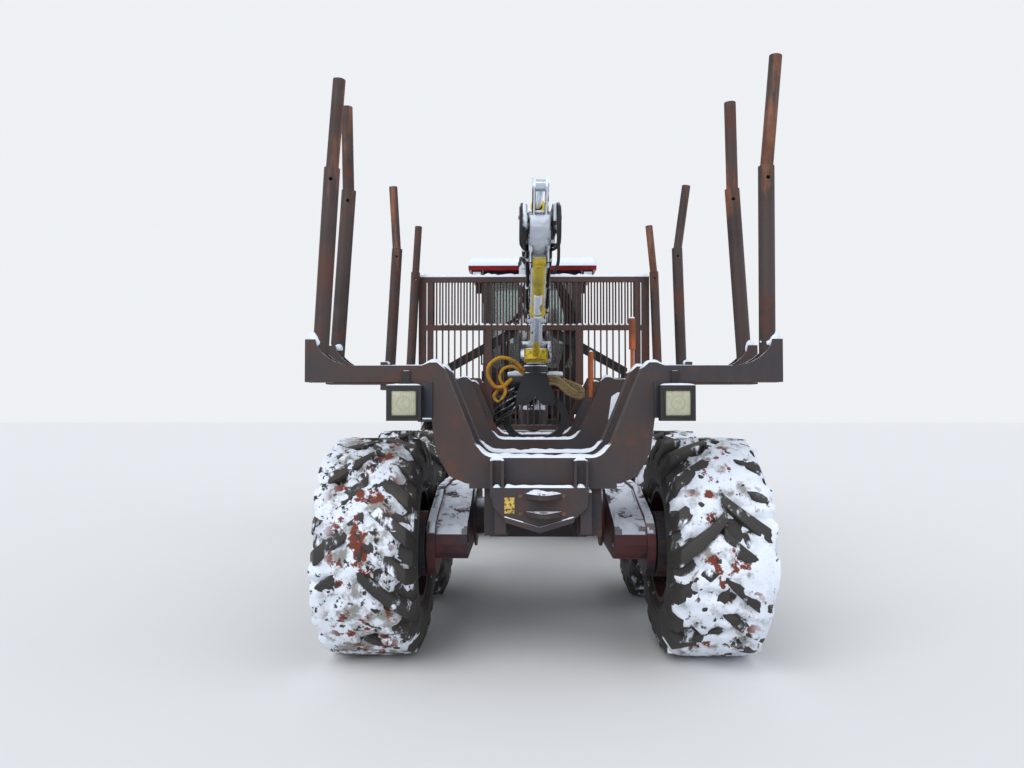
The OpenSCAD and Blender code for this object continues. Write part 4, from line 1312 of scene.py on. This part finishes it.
@dataclass(frozen=True)
class Sites:
    """Places on the CAD frame that the small pieces are set from.

    Attributes:
        boom_foot: The boom's hinge on the pillar.
        elbow: The jib's hinge on the boom.
        tip: The grapple's hinge on the jib.
        bunks: The middle of each bunk along the machine.
    """

    boom_foot: Vector
    elbow: Vector
    tip: Vector
    bunks: tuple[float, ...]

    @classmethod
    def read(cls, frame: dict) -> Sites:
        """Works the places out from the joints.


        Returns:
            The places.
        """
        pivots = {j["name"]: Vector(j["pos_m"]) for j in frame["joints"] if "pos_m" in j}
        bogie_y = pivots["bogie_left_swing"].y
        return cls(
            boom_foot=pivots["loader_lift"], elbow=pivots["jib_swing"], tip=pivots["grapple_hang"],
            bunks=tuple(bogie_y + ahead for ahead in BUNKS_AHEAD),
        )


# Rear half: lamps and hitch


@dataclass
class LoadSpace:
    """Small pieces on the rear lamps, the bunk's flank and the end plate.

    Attributes:
        sites: Places on the CAD frame.
        lens: Width of a work lamp's lens.
        gap: Distance from a lens to the middle of its bezel.
        strip: Half the width of a bezel's strips.
        bolt: Radius of a bolt head on the end plate.
        setback: Distance of the end plate's face from the machine's rearmost point.
        plate: Thickness of a lamp plate.
        plate_back: Distance of the plates from the middle of the rearmost bunk.
    """

    sites: Sites
    lens: float = 0.134
    gap: float = 0.004
    strip: float = 0.005
    bolt: float = 0.009
    setback: float = 0.098
    plate: float = 0.011
    plate_back: float = 0.066

    def lamps(self) -> None:
        """Fits a lens and a bezel in each rear work lamp."""
        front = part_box("work_lamps")[0].y
        half, edge, strip = self.lens / 2, self.lens / 2 + self.gap, self.strip
        near, far = front - self.gap, front + 0.003
        for side, (x, z) in LAMPS.items():
            glass = Piece(f"lamp_lens_{side.value}", "rear")
            glass.block((x - half, front + 0.004, z - half), (x + half, front + 0.012, z + half), 0.004)
            glass.done(Lens(name=glass.name, colour=Tint.LENS.value, middle=(x, 0.0, z)))
            ring = Piece(f"lamp_bezel_{side.value}", "rear")
            for at in (-edge, edge):
                ring.block((x - edge, near, z + at - strip), (x + edge, far, z + at + strip), 0.002)
                ring.block((x + at - strip, near, z - edge), (x + at + strip, far, z + edge), 0.002)
            ring.done(Rubber(name="lamp_rubber", colour=Tint.BLACK.value, mud=0.2))

    def hitch(self) -> None:
        """Adds bolt heads and a blank tag to the rear end plate."""
        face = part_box("rear_bumper")[0].y + self.setback
        bolts = Piece("hitch_bolts", "rear")
        for x, z in itertools.product(*HITCH_BOLTS):
            bolts.bolt((x, face, z), BACK, self.bolt)
        bolts.done(Metal(name="bolt_steel", colour=linear(110, 90, 80), rough=0.5, grime=0.7))
        tag = Piece("end_plate_tag", "rear")
        tag.block((-0.208, face - 0.003, 0.952), (-0.153, face + 0.001, 1.037), 0.0012)
        tag.done(FlakedPaint(name="tag_paint", colour=linear(214, 182, 84), rust=0.3, snow=0.2))

    def lamp_plates(self) -> None:
        """Fits the plates that close the gap between each rear lamp and the bunk's flank."""
        back = self.sites.bunks[0] - self.plate_back
        for side, (low, high) in LAMP_PLATES.items():
            plate = Piece(f"lamp_plate_{side.value}", "rear")
            plate.block((low, back - self.plate, 1.46), (high, back, 1.655), 0.002)
            plate.done(WornPaint(name="plate_paint", colour=Tint.NAVY.value, rust=0.3, snow=0.4))


# Loader: hoses and fittings

# Rows of a hose: x, y from the family's own place, z, then how x and z move with the hose's shift
PILLAR_RIGHT = (
    (0.13, -0.12, 2.93, 0.2, -0.4), (0.20, -0.15, 2.86, 0.5, -0.4), (0.28, -0.14, 2.66, 0.7, -0.3),
    (0.34, -0.10, 2.38, 0.6, 0.0), (0.32, -0.06, 2.08, 0.4, 0.0), (0.24, -0.03, 1.85, 0.2, 0.0),
    (0.16, -0.02, 1.72, 0.0, 0.3),
)
PILLAR_LEFT = (
    (-0.14, -0.05, 2.52, 0.0, -0.05), (-0.24, -0.09, 2.36, -0.03, 0.0), (-0.27, -0.10, 2.05, -0.03, 0.0),
    (-0.22, -0.06, 1.80, -0.02, 0.0), (-0.14, -0.02, 1.64, 0.0, 0.03),
)
WRAPPED = (
    (0.11, -0.08, 1.78, 0.0, -1.0), (0.19, -0.14, 1.77, 0.0, -1.0), (0.27, -0.16, 1.70, 0.0, -1.0),
    (0.35, -0.15, 1.645, 0.0, -0.8), (0.415, -0.08, 1.65, 0.0, -0.7), (0.39, 0.04, 1.70, 0.0, -0.6),
    (0.25, 0.09, 1.76, 0.0, -0.4),
)
GUARDED = (
    (-0.10, -0.10, 1.83), (-0.19, -0.15, 1.915), (-0.31, -0.17, 1.94), (-0.40, -0.17, 1.875),
    (-0.41, -0.16, 1.78), (-0.35, -0.13, 1.69), (-0.27, -0.11, 1.70), (-0.21, -0.07, 1.76),
)
GUARDED_INNER = (
    (-0.10, -0.08, 1.80), (-0.19, -0.12, 1.865), (-0.28, -0.13, 1.845), (-0.31, -0.12, 1.76),
    (-0.26, -0.12, 1.65), (-0.32, -0.11, 1.56), (-0.36, -0.10, 1.62), (-0.24, -0.06, 1.74),
)


def strand(rows: tuple, y: float, shift: float = 0.0, count: int = 12) -> list[Vector]:
    """Draws one hose of a family whose hoses lie a little apart.

    Args:
        rows: The family's points.
        y: The family's own place along the machine.
        shift: This hose's shift.
        count: Samples between each two points.

    Returns:
        The samples of its centre line.
    """
    points = []
    for x, ahead, z, *move in rows:
        dx, dz = move or (0.0, 0.0)
        points.append((x + shift * dx, y + ahead, z + shift * dz))
    return smooth_path(points, count)


@dataclass
class LoaderHoses:
    """Hoses of the loader, on its pillar, boom and jib, and the elbow's pin caps.

    Attributes:
        sites: Places on the CAD frame.
        radius: Radius of a plain hose.
        bundle_radius: Radius of a hose at the pillar.
        wrapped_radius: Radius of a hose in a spiral guard.
        spiral: Radius of the guard's strip.
        spiral_pitch: Length of one turn of the guard.
        lean: Distance of the boom's hoses from the machine's middle.
        clamps_at: Places of the boom's clamps, as parts of its length.
    """

    sites: Sites
    radius: float = 0.011
    bundle_radius: float = 0.0125
    wrapped_radius: float = 0.0145
    spiral: float = 0.004
    spiral_pitch: float = 0.024
    lean: float = 0.1
    clamps_at: tuple[float, ...] = (0.12, 0.36, 0.60, 0.84)

    def boom_runs(self) -> None:
        """Lays hoses along both sides of the boom, with clamps, and hangs one from its far end."""
        foot, elbow = self.sites.boom_foot, self.sites.elbow
        length = foot.y - elbow.y
        rise = (foot.z - elbow.z) / length
        spacing = self.radius * 2.3
        for side, count in ((Side.LEFT, 2), (Side.RIGHT, 3)):
            out, x = side.out, side.out * self.lean
            paths, clamps = [], Piece(f"boom_clamps_{side.value}", "main_boom")
            for number in range(count):
                start = Vector((x, foot.y - 0.16, foot.z - number * spacing))
                points = []
                for step in range(7):
                    part = step / 6
                    y = start.y - part * (length - 0.45)
                    sag = 0.006 * math.sin(part * math.tau * 2 + number) - 0.012 * (number % 2)
                    wave = 0.004 * math.sin(part * 9 + number)
                    points.append((x + wave, y, start.z - (start.y - y) * rise + sag))
                _, y, z = points[-1]
                points.append((x + out * 0.01, y - 0.08, z - 0.01))
                if number == 2:
                    points += [(out * 0.118, y - 0.24, z - 0.10), (out * 0.12, y - 0.20, z - 0.26),
                               (out * 0.10, y - 0.02, z - 0.30)]
                paths.append(smooth_path(points, 10))
            tube(f"boom_hoses_{side.value}", "main_boom", paths, self.radius, HOSE_RUBBER)
            for part in self.clamps_at:
                y = foot.y - part * length
                z = foot.z - (foot.y - y) * rise
                ends = (y - 0.02, z - 0.03 - count * spacing), (y + 0.02, z + 0.015)
                clamps.flank(out * 0.079, out * 0.118, *ends, 0.004)
            clamps.done(CRANE_PAINT)

    def pillar_hoses(self) -> None:
        """Bends a black bundle round each side of the pillar."""
        y = self.sites.boom_foot.y
        right = [strand(PILLAR_RIGHT, y, 0.034 * number) for number in range(6)]
        left = [strand(PILLAR_LEFT, y, number) for number in range(3)]
        for side, bundle in ((Side.RIGHT, right), (Side.LEFT, left)):
            tube(f"pillar_bundle_{side.value}", "pillar", bundle, self.bundle_radius, HOSE_RUBBER)

    def grapple_hoses(self) -> None:
        """Loops guarded, spiral-wrapped and plain hoses at the grapple's cross housing."""
        y = self.sites.tip.y
        guard = Woven(name="hose_guard", colour=Tint.GUARD.value, scale=160.0)
        wrap = Woven(name="hose_wrap", colour=Tint.WRAP.value, scale=90.0)
        wrapped = [strand(WRAPPED, y, 0.030 * number) for number in range(3)]
        reach = self.wrapped_radius + 0.0015
        spirals = [coil_round(path, reach, self.spiral_pitch) for path in wrapped]
        jumble = []
        for number in range(7):
            turn = number * 0.9
            jumble.append(strand((
                (-0.12 - 0.02 * math.cos(turn), 0.02, 1.70 - 0.02 * number),
                (-0.24 - 0.05 * math.sin(turn), -0.09 - 0.012 * number, 1.64 - 0.03 * number),
                (-0.34 - 0.03 * math.cos(turn * 2), -0.10, 1.54 - 0.025 * number),
                (-0.30 + 0.04 * math.sin(turn * 3), -0.06, 1.42 - 0.01 * number),
                (-0.22, -0.02 - 0.01 * number, 1.46 + 0.03 * number),
                (-0.14, 0.03, 1.62 + 0.01 * number),
            ), y, count=10))
        for name, paths, radius, finish, sides in (
            ("guarded_hose", [strand(GUARDED, y, count=14)], 0.017, guard, 2),
            ("guarded_hose_inner", [strand(GUARDED_INNER, y)], 0.014, guard, 2),
            ("wrapped_hoses", wrapped, self.wrapped_radius, wrap, 2),
            ("hose_spirals", spirals, self.spiral, wrap, 1),
            ("grapple_hoses", jumble, self.radius, HOSE_RUBBER, 2),
        ):
            tube(name, "grapple_head", paths, radius, finish, sides)

    def crossing_hoses(self) -> None:
        """Hangs the jib's hoses over the elbow, from the boom to the jib."""
        elbow = self.sites.elbow
        paths = []
        for side, number in itertools.product((-1.0, 1.0), (0, 1)):
            x, top = side * (0.114 + 0.006 * number), 0.075 - 0.02 * number
            reach = 0.05 + 0.03 * number + (0.05 if side > 0 else 0.0)
            rows = (
                (side * 0.110, 0.26, 0.04 - 0.025 * number), (x, 0.12, top), (x, -reach * 0.5, top),
                (x, -reach, -0.04), (x, -reach * 0.3, -0.17), (side * 0.104, 0.12, -0.17 + 0.02 * number),
                (side * 0.078, 0.30, -0.15 + 0.028 * number),
            )
            paths.append(smooth_path([(x, elbow.y + y, elbow.z + z) for x, y, z in rows], 12))
        made = tube("elbow_hoses", "", paths, self.radius, HOSE_RUBBER)
        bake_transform(made)

    def jib_runs(self) -> None:
        """Lays hoses along both sides of the jib's tube, with clamps, to its front end."""
        elbow, tip = self.sites.elbow, self.sites.tip
        fall = (elbow.z - tip.z) / (tip.y - elbow.y)
        clamps = Piece("jib_clamps", "jib")
        paths = []
        for side in (-1.0, 1.0):
            for number in range(2):
                rows = [
                    (side * (0.078 + 0.003 * math.sin(step * 2.1 + number)), elbow.y + ahead,
                     elbow.z - ahead * fall - 0.035 + 0.028 * number + 0.004 * math.sin(step * 1.7))
                    for step, ahead in enumerate((0.28, 0.45, 0.62, 0.80, 0.97, 1.14))
                ]
                paths.append(smooth_path(rows, 8))
            for ahead in (0.40, 0.75, 1.08):
                y, z = elbow.y + ahead, elbow.z - ahead * fall - 0.021
                ends = (y - 0.015, z - 0.036), (y + 0.015, z + 0.036)
                clamps.flank(side * 0.062, side * 0.092, *ends, 0.004)
        tube("jib_hoses", "jib", paths, self.radius, HOSE_RUBBER)
        clamps.done(CRANE_PAINT)

    def fittings(self) -> None:
        """Caps the elbow's pin with a washer and a bolt on both sides."""
        _, y, z = self.sites.elbow
        pins = Piece("boom_pin_caps", "main_boom")
        for side in (-1.0, 1.0):
            pins.rod((side * 0.118, y, z), (side * 0.128, y, z), 0.034, 24)
            pins.bolt((side * 0.126, y, z), (side, 0.0, 0.0), 0.012)
        pins.done(Metal(name="pin_steel", colour=Tint.STEEL.value, rough=0.4, grime=0.6))


# Cab and front


def islands(data: bpy.types.Mesh) -> list[list[Vector]]:
    """Collects the points of each separate solid of a mesh.

    Args:
        data: The mesh.

    Returns:
        The points of each solid.
    """
    mesh = bmesh.new()
    mesh.from_mesh(data)
    bmesh.ops.remove_doubles(mesh, verts=mesh.verts, dist=0.0001)
    seen, found = set(), []
    for vert in mesh.verts:
        if vert in seen:
            continue
        island, queue = [], [vert]
        while queue:
            each = queue.pop()
            if each not in seen:
                seen.add(each)
                island.append(each.co.copy())
                queue += [e.other_vert(each) for e in each.link_edges]
        found.append(island)
    mesh.free()
    return found


@dataclass
class Front:
    """Small pieces of the cab and hood.

    Attributes:
        slat: Height of a grille slat.
        slats: Slats of a grille.
        slat_pitch: Distance from one slat to the next.
        grille_low: Height of a grille's lowest slat.
        pan: Height of the seat's pan above its foot.
        bellows: Folds of the seat's bellows.
        fold: Height of a fold.
        crown: How much of a pad's thickness swells in its middle.
        seam: How deep a pad's seams sink, as a part of its thickness.
    """

    slat: float = 0.016
    slats: int = 11
    slat_pitch: float = 0.042
    grille_low: float = 1.36
    pan: float = 0.31
    bellows: int = 5
    fold: float = 0.05
    crown: float = 0.45
    seam: float = 0.10

    def grilles(self) -> None:
        """Sets slatted grilles in the hood's sides."""
        low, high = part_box("hood")
        for side in Side:
            grille = Piece(f"hood_grille_{side.value}", "hood")
            out, x = side.out, high.x if side is Side.RIGHT else low.x
            for number in range(self.slats):
                z = self.grille_low + number * self.slat_pitch
                ends = (low.y + 0.42, z), (low.y + 0.98, z + self.slat)
                grille.flank(x - out * 0.004, x + out * 0.012, *ends, 0.003)
            for y in (low.y + 0.40, low.y + 0.98):
                grille.flank(x - out * 0.004, x + out * 0.008, (y, 1.34), (y + 0.022, 1.83), 0.003)
            grille.done(BLACK_PAINT)

    def door_handle(self) -> None:
        """Puts a handle and a lock on the door."""
        low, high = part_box("cab_door")
        grip, y = low.x - 0.030, high.y - 0.09
        handle = Piece("door_handle", "door")
        handle.rod((grip, y, low.z + 0.30), (grip, y, low.z + 0.46), 0.010, 16)
        for z in (low.z + 0.31, low.z + 0.45):
            handle.rod((grip, y, z), (low.x + 0.006, y, z), 0.008, 12)
        handle.rod((low.x - 0.006, y, low.z + 0.25), (low.x + 0.004, y, low.z + 0.25), 0.014, 20)
        handle.done(Rubber(name="handle_black", colour=Tint.BLACK.value, mud=0.1))

    def roof_lamps(self) -> None:
        """Gives each roof lamp a round-edged lens on its outward face."""
        middle = sum(corner.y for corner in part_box("cab_roof")) / 2
        lens = Piece("roof_lamp_lenses", "front")
        for island in islands(bpy.data.objects["cab_lamps"].data):
            low, high = extent(island)
            out, y = (1, high.y) if high.y > middle else (-1, low.y)
            back, front = sorted((y - 0.004 * out, y + 0.005 * out))
            lens.block((low.x + 0.014, back, low.z + 0.014), (high.x - 0.014, front, high.z - 0.014), 0.003)
        lens.done(Lens(name="roof_lens", colour=linear(205, 210, 214)))

    def seat(self) -> None:
        """Builds the driver's seat as padded pieces on a base that replace its plain solid."""
        low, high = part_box("cab_seat")
        pan = low.z + self.pan
        base = Piece("seat_base", "front")
        y = low.y + 0.29
        base.rod((0.0, y, low.z), (0.0, y, low.z + self.fold), 0.17, 32)
        for number in range(self.bellows):
            z = low.z + self.fold + number * self.fold
            base.rod((0.0, y, z), (0.0, y, z + self.fold / 2), 0.13, 32, 0.15)
            base.rod((0.0, y, z + self.fold / 2), (0.0, y, z + self.fold), 0.15, 32, 0.13)
        base.block((-0.21, low.y + 0.08, pan - 0.015), (0.21, low.y + 0.50, pan + 0.02), 0.008)
        for side in (-1.0, 1.0):
            left, right = sorted((side * 0.245, side * 0.325))
            foot = left + 0.03 if side > 0 else right
            base.block((left, low.y + 0.15, low.z + 0.56), (right, high.y - 0.02, low.z + 0.615), 0.02)
            base.block((left, low.y + 0.16, low.z + 0.42), (foot, low.y + 0.24, low.z + 0.57), 0.005)
            x, y = side * 0.285, high.y - 0.07
            base.rod((x, y, low.z + 0.61), (x, y + 0.01, low.z + 0.70), 0.012, 12, 0.018)
        base.done(Rubber(name="seat_plastic", colour=Tint.BLACK.value, mud=0.15), "cab_seat")
        for name, half, start, end, thin, tilt in (
            ("seat_cushion", 0.235, (low.y + 0.07, pan + 0.02), (low.y + 0.53, pan + 0.135), 2, 0.0),
            ("seat_back", 0.225, (low.y + 0.05, pan + 0.12), (low.y + 0.16, high.z), 1, 6.0),
        ):
            self.pad(name, (-half, *start), (half, *end), thin, tilt)

    def pad(self, name: str, low: Point, high: Point, thin: int, tilt: float) -> None:
        """Swells a cut block into a padded piece with two seams.

        Args:
            name: The piece's name.
            low: Lowest corner.
            high: Highest corner.
            thin: The axis along which it is thin.
            tilt: Degrees that it leans back.
        """
        pad = Piece(name, "front")
        pad.block(low, high)
        bmesh.ops.subdivide_edges(pad.mesh, edges=pad.mesh.edges, cuts=9, use_grid_fill=True)
        start, end = Vector(low), Vector(high)
        centre, half = (start + end) / 2, (end - start) / 2
        flat = [i for i in range(3) if i != thin]
        for vert in pad.mesh.verts:
            u = [(vert.co[i] - centre[i]) / half[i] for i in range(3)]
            swell = (1 - u[flat[0]] ** 4) * (1 - u[flat[1]] ** 4)
            seam = self.seam if abs(abs(u[0]) - 0.6) < 0.08 else 0.0
            thick = 1.0 - self.crown + self.crown * swell - seam
            vert.co[thin] = centre[thin] + u[thin] * half[thin] * thick
            for i in flat:
                vert.co[i] = centre[i] + u[i] * half[i] * (1.0 - 0.05 * (1 - abs(u[thin])) * abs(u[i]))
            vert.co.y -= math.tan(math.radians(tilt)) * (vert.co.z - start.z)
        bmesh.ops.smooth_vert(
            pad.mesh, verts=pad.mesh.verts, factor=0.5, use_axis_x=True, use_axis_y=True, use_axis_z=True
        )
        cloth = Woven(name="seat_cloth", colour=Tint.SEAT.value, scale=420.0)
        pad.done(cloth, smooth=70.0)


# Snow, finishes and staging

BACK = (0.0, -1.0, 0.0)
UNDER = (0.0, -0.36, -0.93)

CRANE_PAINT = WornPaint(
    name="crane_paint", colour=Tint.CRANE.value, rust=0.22, snow=0.62, second=Tint.NAVY.value, drift=0.52
)
HOSE_RUBBER = Rubber(name="hose_rubber", colour=Tint.HOSE.value, mud=0.1, snow=0.4)
BLACK_PAINT = WornPaint(name="black_paint", colour=Tint.BLACK.value, rust=0.3, snow=0.3)

# Every CAD node by the finish that it takes
NODE_FINISHES: dict[Finish, list[str]] = {
    # The bunks' second colour paints broad bluish-grey patches: worn paint, with a painted sheen on it.
    WornPaint(name="bunk_paint", colour=Tint.BUNK.value, rust=0.4, snow=0.55, second=linear(46, 42, 47)): [
        "bunks", "rear_bumper",
    ],
    StakePaint(name="stake_paint", colour=Tint.BUNK.value, rust=0.46, snow=0.55): ["stakes"],
    WornPaint(name="gate_paint", colour=Tint.GATE.value, rust=0.44, snow=0.5): ["gate"],
    WornPaint(name="frame_paint", colour=Tint.FRAME.value, rust=0.4, snow=0.5, second=Tint.NAVY.value): [
        "rear_frame", "front_frame", "centre_joint", "front_axle", "rear_axle",
    ],
    WornPaint(name="bogie_paint", colour=Tint.BOGIE.value, rust=0.3, snow=0.5, second=Tint.NAVY.value): [
        "bogie_left", "bogie_right",
    ],
    CRANE_PAINT: ["pillar", "main_boom", "jib", "jib_extension"],
    WornPaint(name="head_paint", colour=Tint.CRANE.value, rust=0.2, snow=0.6, second=Tint.BLACK.value): [
        "loader_base", "grapple_link", "grapple_head", "jaw_left", "jaw_right", "gate_stays",
    ],
    BlockedRod(name="extension_rod_metal", split=2.03): ["extension_rod"],
    WornPaint(name="cylinder_paint", colour=Tint.YELLOW.value, rust=0.2, snow=0.5, rough=0.4): [
        "lift_barrel", "jib_barrel", "extension_barrel",
    ],
    Metal(name="rod_chrome", colour=Tint.ROD.value, rough=0.18, grime=0.12): ["lift_rod", "jib_rod"],
    CabPaint(name="cab_paint", colour=Tint.CAB_RED.value, rust=0.12, snow=0.5, rough=0.35): [
        "cab", "cab_door",
    ],
    WornPaint(name="roof_paint", colour=Tint.CAB_RED.value, rust=0.12, snow=0.5, rough=0.35): [
        "cab_roof", "hood",
    ],
    BLACK_PAINT: ["fenders", "front_guard", "work_lamps", "cab_lamps", "exhaust", "engine"],
    WornPaint(name="post_paint", colour=Tint.ORANGE.value, rust=0.34, snow=0.5): ["marker_posts"],
    Pane(name="cab_glass_tint", colour=linear(196, 208, 206)): ["cab_glass", "door_glass"],
    WornPaint(name="rim_paint", colour=Tint.NAVY.value, rust=0.5, snow=0.3): [
        f"rim_{row.value}_{side.value}" for row, side in itertools.product(Row, Side)
    ],
}

# Node, body, depth, grid step, share covered, then the covered part's corners, tilt, aim and name
SNOW_LAYERS = (
    Cap("main_boom", "main_boom", 0.038, 0.014, 0.95, (-0.2, -2.78, 2.6), (0.2, 0.5, 3.2)),
    Cap("jib", "jib", 0.02, 0.014, 0.8, (-0.1, -2.62, 2.1), (0.1, -1.65, 2.95)),
    Cap("gate", "rear", 0.045, 0.012, 0.95),
    Cap("gate", "rear", 0.04, 0.01, 0.95, (-0.95, -0.2, 2.22), (0.95, 0.1, 2.42), label="gate_mid"),
    Cap("bunks", "rear", 0.022, 0.014, 0.72),
    Cap("rear_bumper", "rear", 0.034, 0.009, 0.95),
    Cap("bogie_left", "bogie_left", 0.026, 0.012, 0.4),
    Cap("bogie_right", "bogie_right", 0.026, 0.012, 0.4),
    Cap("rear_frame", "rear", 0.016, 0.022, 0.62),
    Cap("work_lamps", "rear", 0.014, 0.01, 0.9),
    Cap("marker_posts", "rear", 0.034, 0.006, 1.0),
    Cap("cab_roof", "front", 0.055, 0.03, 0.98),
    Cap("hood", "hood", 0.04, 0.03, 0.85),
    Cap("fenders", "front", 0.035, 0.024, 0.9),
    Cap("front_frame", "front", 0.02, 0.03, 0.6),
    Cap("pillar", "pillar", 0.018, 0.012, 0.85),
    Cap("lift_barrel", "lift_barrel", 0.016, 0.01, 0.7),
    Cap("stakes", "rear", 0.02, 0.008, 0.9, tilt=0.75),
    Cap("main_boom", "main_boom", 0.022, 0.01, 0.78, (-0.2, -3.2, 2.4), (0.2, -2.5, 3.0), 0.45, BACK,
        "boom_end"),
    Cap("jib", "jib", 0.016, 0.01, 0.82, aim=UNDER, label="jib_under"),
    Cap("jib", "jib", 0.018, 0.01, 0.8, tilt=0.5, aim=BACK, label="jib_back"),
    Cap("jib_extension", "jib_extension", 0.010, 0.009, 0.62, (-0.1, -1.6, 1.9), (0.1, -0.98, 2.3), 0.7,
        UNDER, "extension_under"),
    Cap("extension_barrel", "jib", 0.014, 0.006, 0.52, (-0.03, -2.3, 2.1), (0.03, -1.98, 2.4), 0.6, UNDER),
    Cap("grapple_head", "grapple_head", 0.02, 0.009, 0.9, tilt=0.7),
    Cap("grapple_link", "grapple_link", 0.02, 0.008, 0.9, tilt=0.7),
    Cap("extension_rod", "jib_extension", 0.024, 0.007, 0.95, (-0.1, -1.36, 1.95), (0.1, -1.22, 2.2), 0.6,
        label="knuckle"),
)
# Clumps on the ends of the bunks' arms: which bunk, x, width and height
CLUMPS = (
    (0, -1.25, 0.055, 0.06), (0, 1.255, 0.058, 0.058), (1, -1.25, 0.042, 0.045), (1, 1.25, 0.05, 0.055),
    (2, 1.24, 0.045, 0.045), (2, -1.24, 0.04, 0.035),
)


@dataclass
class Dressing:
    """Finishes of the CAD nodes and the snow that lies on them.

    Attributes:
        nodes: The CAD nodes by name.
        sites: Places on the CAD frame.
    """

    nodes: dict[str, bpy.types.Object]
    sites: Sites

    def paint(self) -> None:
        """Gives every CAD node its finish."""
        for finish, names in NODE_FINISHES.items():
            for name in names:
                slots = self.nodes[name].data.materials
                slots.clear()
                slots.append(finish.material())

    def snow(self) -> None:
        """Lays snow on the faces that the weather reaches."""
        for layer in SNOW_LAYERS:
            layer.build(self.nodes)

    def clumps(self) -> None:
        """Piles snow beside the stakes' feet on the ends of the bunks' arms."""
        piece = Piece("snow_clumps", "rear")
        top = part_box("bunks")[1].z
        for bunk, x, size, height in CLUMPS:
            first = len(piece.mesh.verts)
            middle = Vector((x, self.sites.bunks[bunk], top - 0.012))
            place = Matrix.Translation(middle) @ Matrix.Diagonal((size, 0.05, height, 1.0))
            bmesh.ops.create_icosphere(piece.mesh, subdivisions=3, radius=1.0, matrix=place)
            piece.mesh.verts.ensure_lookup_table()
            for vert in piece.mesh.verts[first:]:
                vert.co += (vert.co - middle) * (0.35 * noise.noise(vert.co * 21.0))
        piece.done(CLEAN_SNOW, smooth=80.0)


@dataclass
class Studio:
    """Floor, light and camera.

    Attributes:
        eye: Place of the camera.
        pitch: Degrees that it looks up.
        turn: Degrees that it looks left of straight ahead.
        lens: Focal length in millimetres on a 36 mm sensor.
        target: What the lamps shine at.
    """

    eye: Point = (-0.108, -7.76, 1.53)
    pitch: float = 1.56
    turn: float = 0.82
    lens: float = 27.07
    target: Vector = field(default_factory=lambda: Vector((0.0, 0.0, 1.2)))

    def floor(self) -> None:
        """Lays a pale floor under the machine."""
        mesh = bmesh.new()
        bmesh.ops.create_grid(mesh, x_segments=1, y_segments=1, size=60.0)
        data = bpy.data.meshes.new("floor")
        mesh.to_mesh(data)
        mesh.free()
        data.materials.append(Floor(name="floor_pale", colour=Tint.FLOOR.value).material())
        show("floor", data)

    def light(self) -> None:
        """Hangs soft lamps round the machine and sets a pale sky."""
        for name, place, spread, power in (
            ("key", (-5.0, -8.0, 9.0), 50.0, 1.55), ("fill", (7.0, -4.0, 6.0), 70.0, 0.55),
        ):
            lamp = bpy.data.lights.new(name, "SUN")
            lamp.energy, lamp.angle = power, math.radians(spread)
            made = show(name, lamp)
            made.location = place
            made.rotation_euler = (self.target - Vector(place)).to_track_quat("-Z", "Y").to_euler()
        world = bpy.data.worlds.new("sky")
        world.use_nodes = True
        world.node_tree.nodes.clear()
        nodes = Nodes(world.node_tree)
        path = nodes.add("ShaderNodeLightPath")
        seen = nodes.most(path.outputs["Is Camera Ray"], path.outputs["Is Glossy Ray"])
        seen = nodes.most(seen, path.outputs["Is Transmission Ray"])
        shade = nodes.add("ShaderNodeBackground")
        colour = nodes.mix(seen, (0.82, 0.87, 0.95), (0.86, 0.88, 0.91))
        nodes.put(shade, Color=colour, Strength=nodes.plus(nodes.times(seen, 0.24), 0.76))
        nodes.put(nodes.add("ShaderNodeOutputWorld"), Surface=shade.outputs[0])
        bpy.context.scene.world = world

    def camera(self) -> None:
        """Sets the camera where the photograph was taken from."""
        lens = bpy.data.cameras.new("camera")
        lens.lens, lens.sensor_width = self.lens, 36.0
        made = show("camera", lens)
        made.location = self.eye
        made.rotation_euler = (math.radians(90.0 + self.pitch), 0.0, math.radians(self.turn))
        bpy.context.scene.camera = made
        bpy.context.scene.view_settings.view_transform = "Standard"


def main() -> None:
    """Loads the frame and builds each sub-assembly in order."""
    logging.basicConfig(level=logging.INFO, format="%(name)s %(message)s")
    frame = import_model()
    sites = Sites.read(frame)
    dressing = Dressing(frame["nodes"], sites)
    dressing.paint()
    for row, height, packing in ((Row.BACK, 0.05, 0.8), (Row.MID, 0.05, 0.6), (Row.FRONT, 0.055, 0.6)):
        for side in Side:
            wheel = Wheel(row, side, lug_height=height)
            wheel.carcass()
            wheel.packed_snow(packing)
            wheel.hub()
    load_space, hoses, front, studio = LoadSpace(sites), LoaderHoses(sites), Front(), Studio()
    for step in (
        load_space.lamps, load_space.hitch, load_space.lamp_plates,
        hoses.boom_runs, hoses.pillar_hoses, hoses.grapple_hoses, hoses.crossing_hoses, hoses.jib_runs,
        hoses.fittings,
        front.grilles, front.door_handle, front.roof_lamps, front.seat,
        dressing.snow, dressing.clumps, studio.floor, studio.light, studio.camera,
    ):
        log.info("building: %s", step.__qualname__)
        step()


if __name__ == "__main__":
    main()
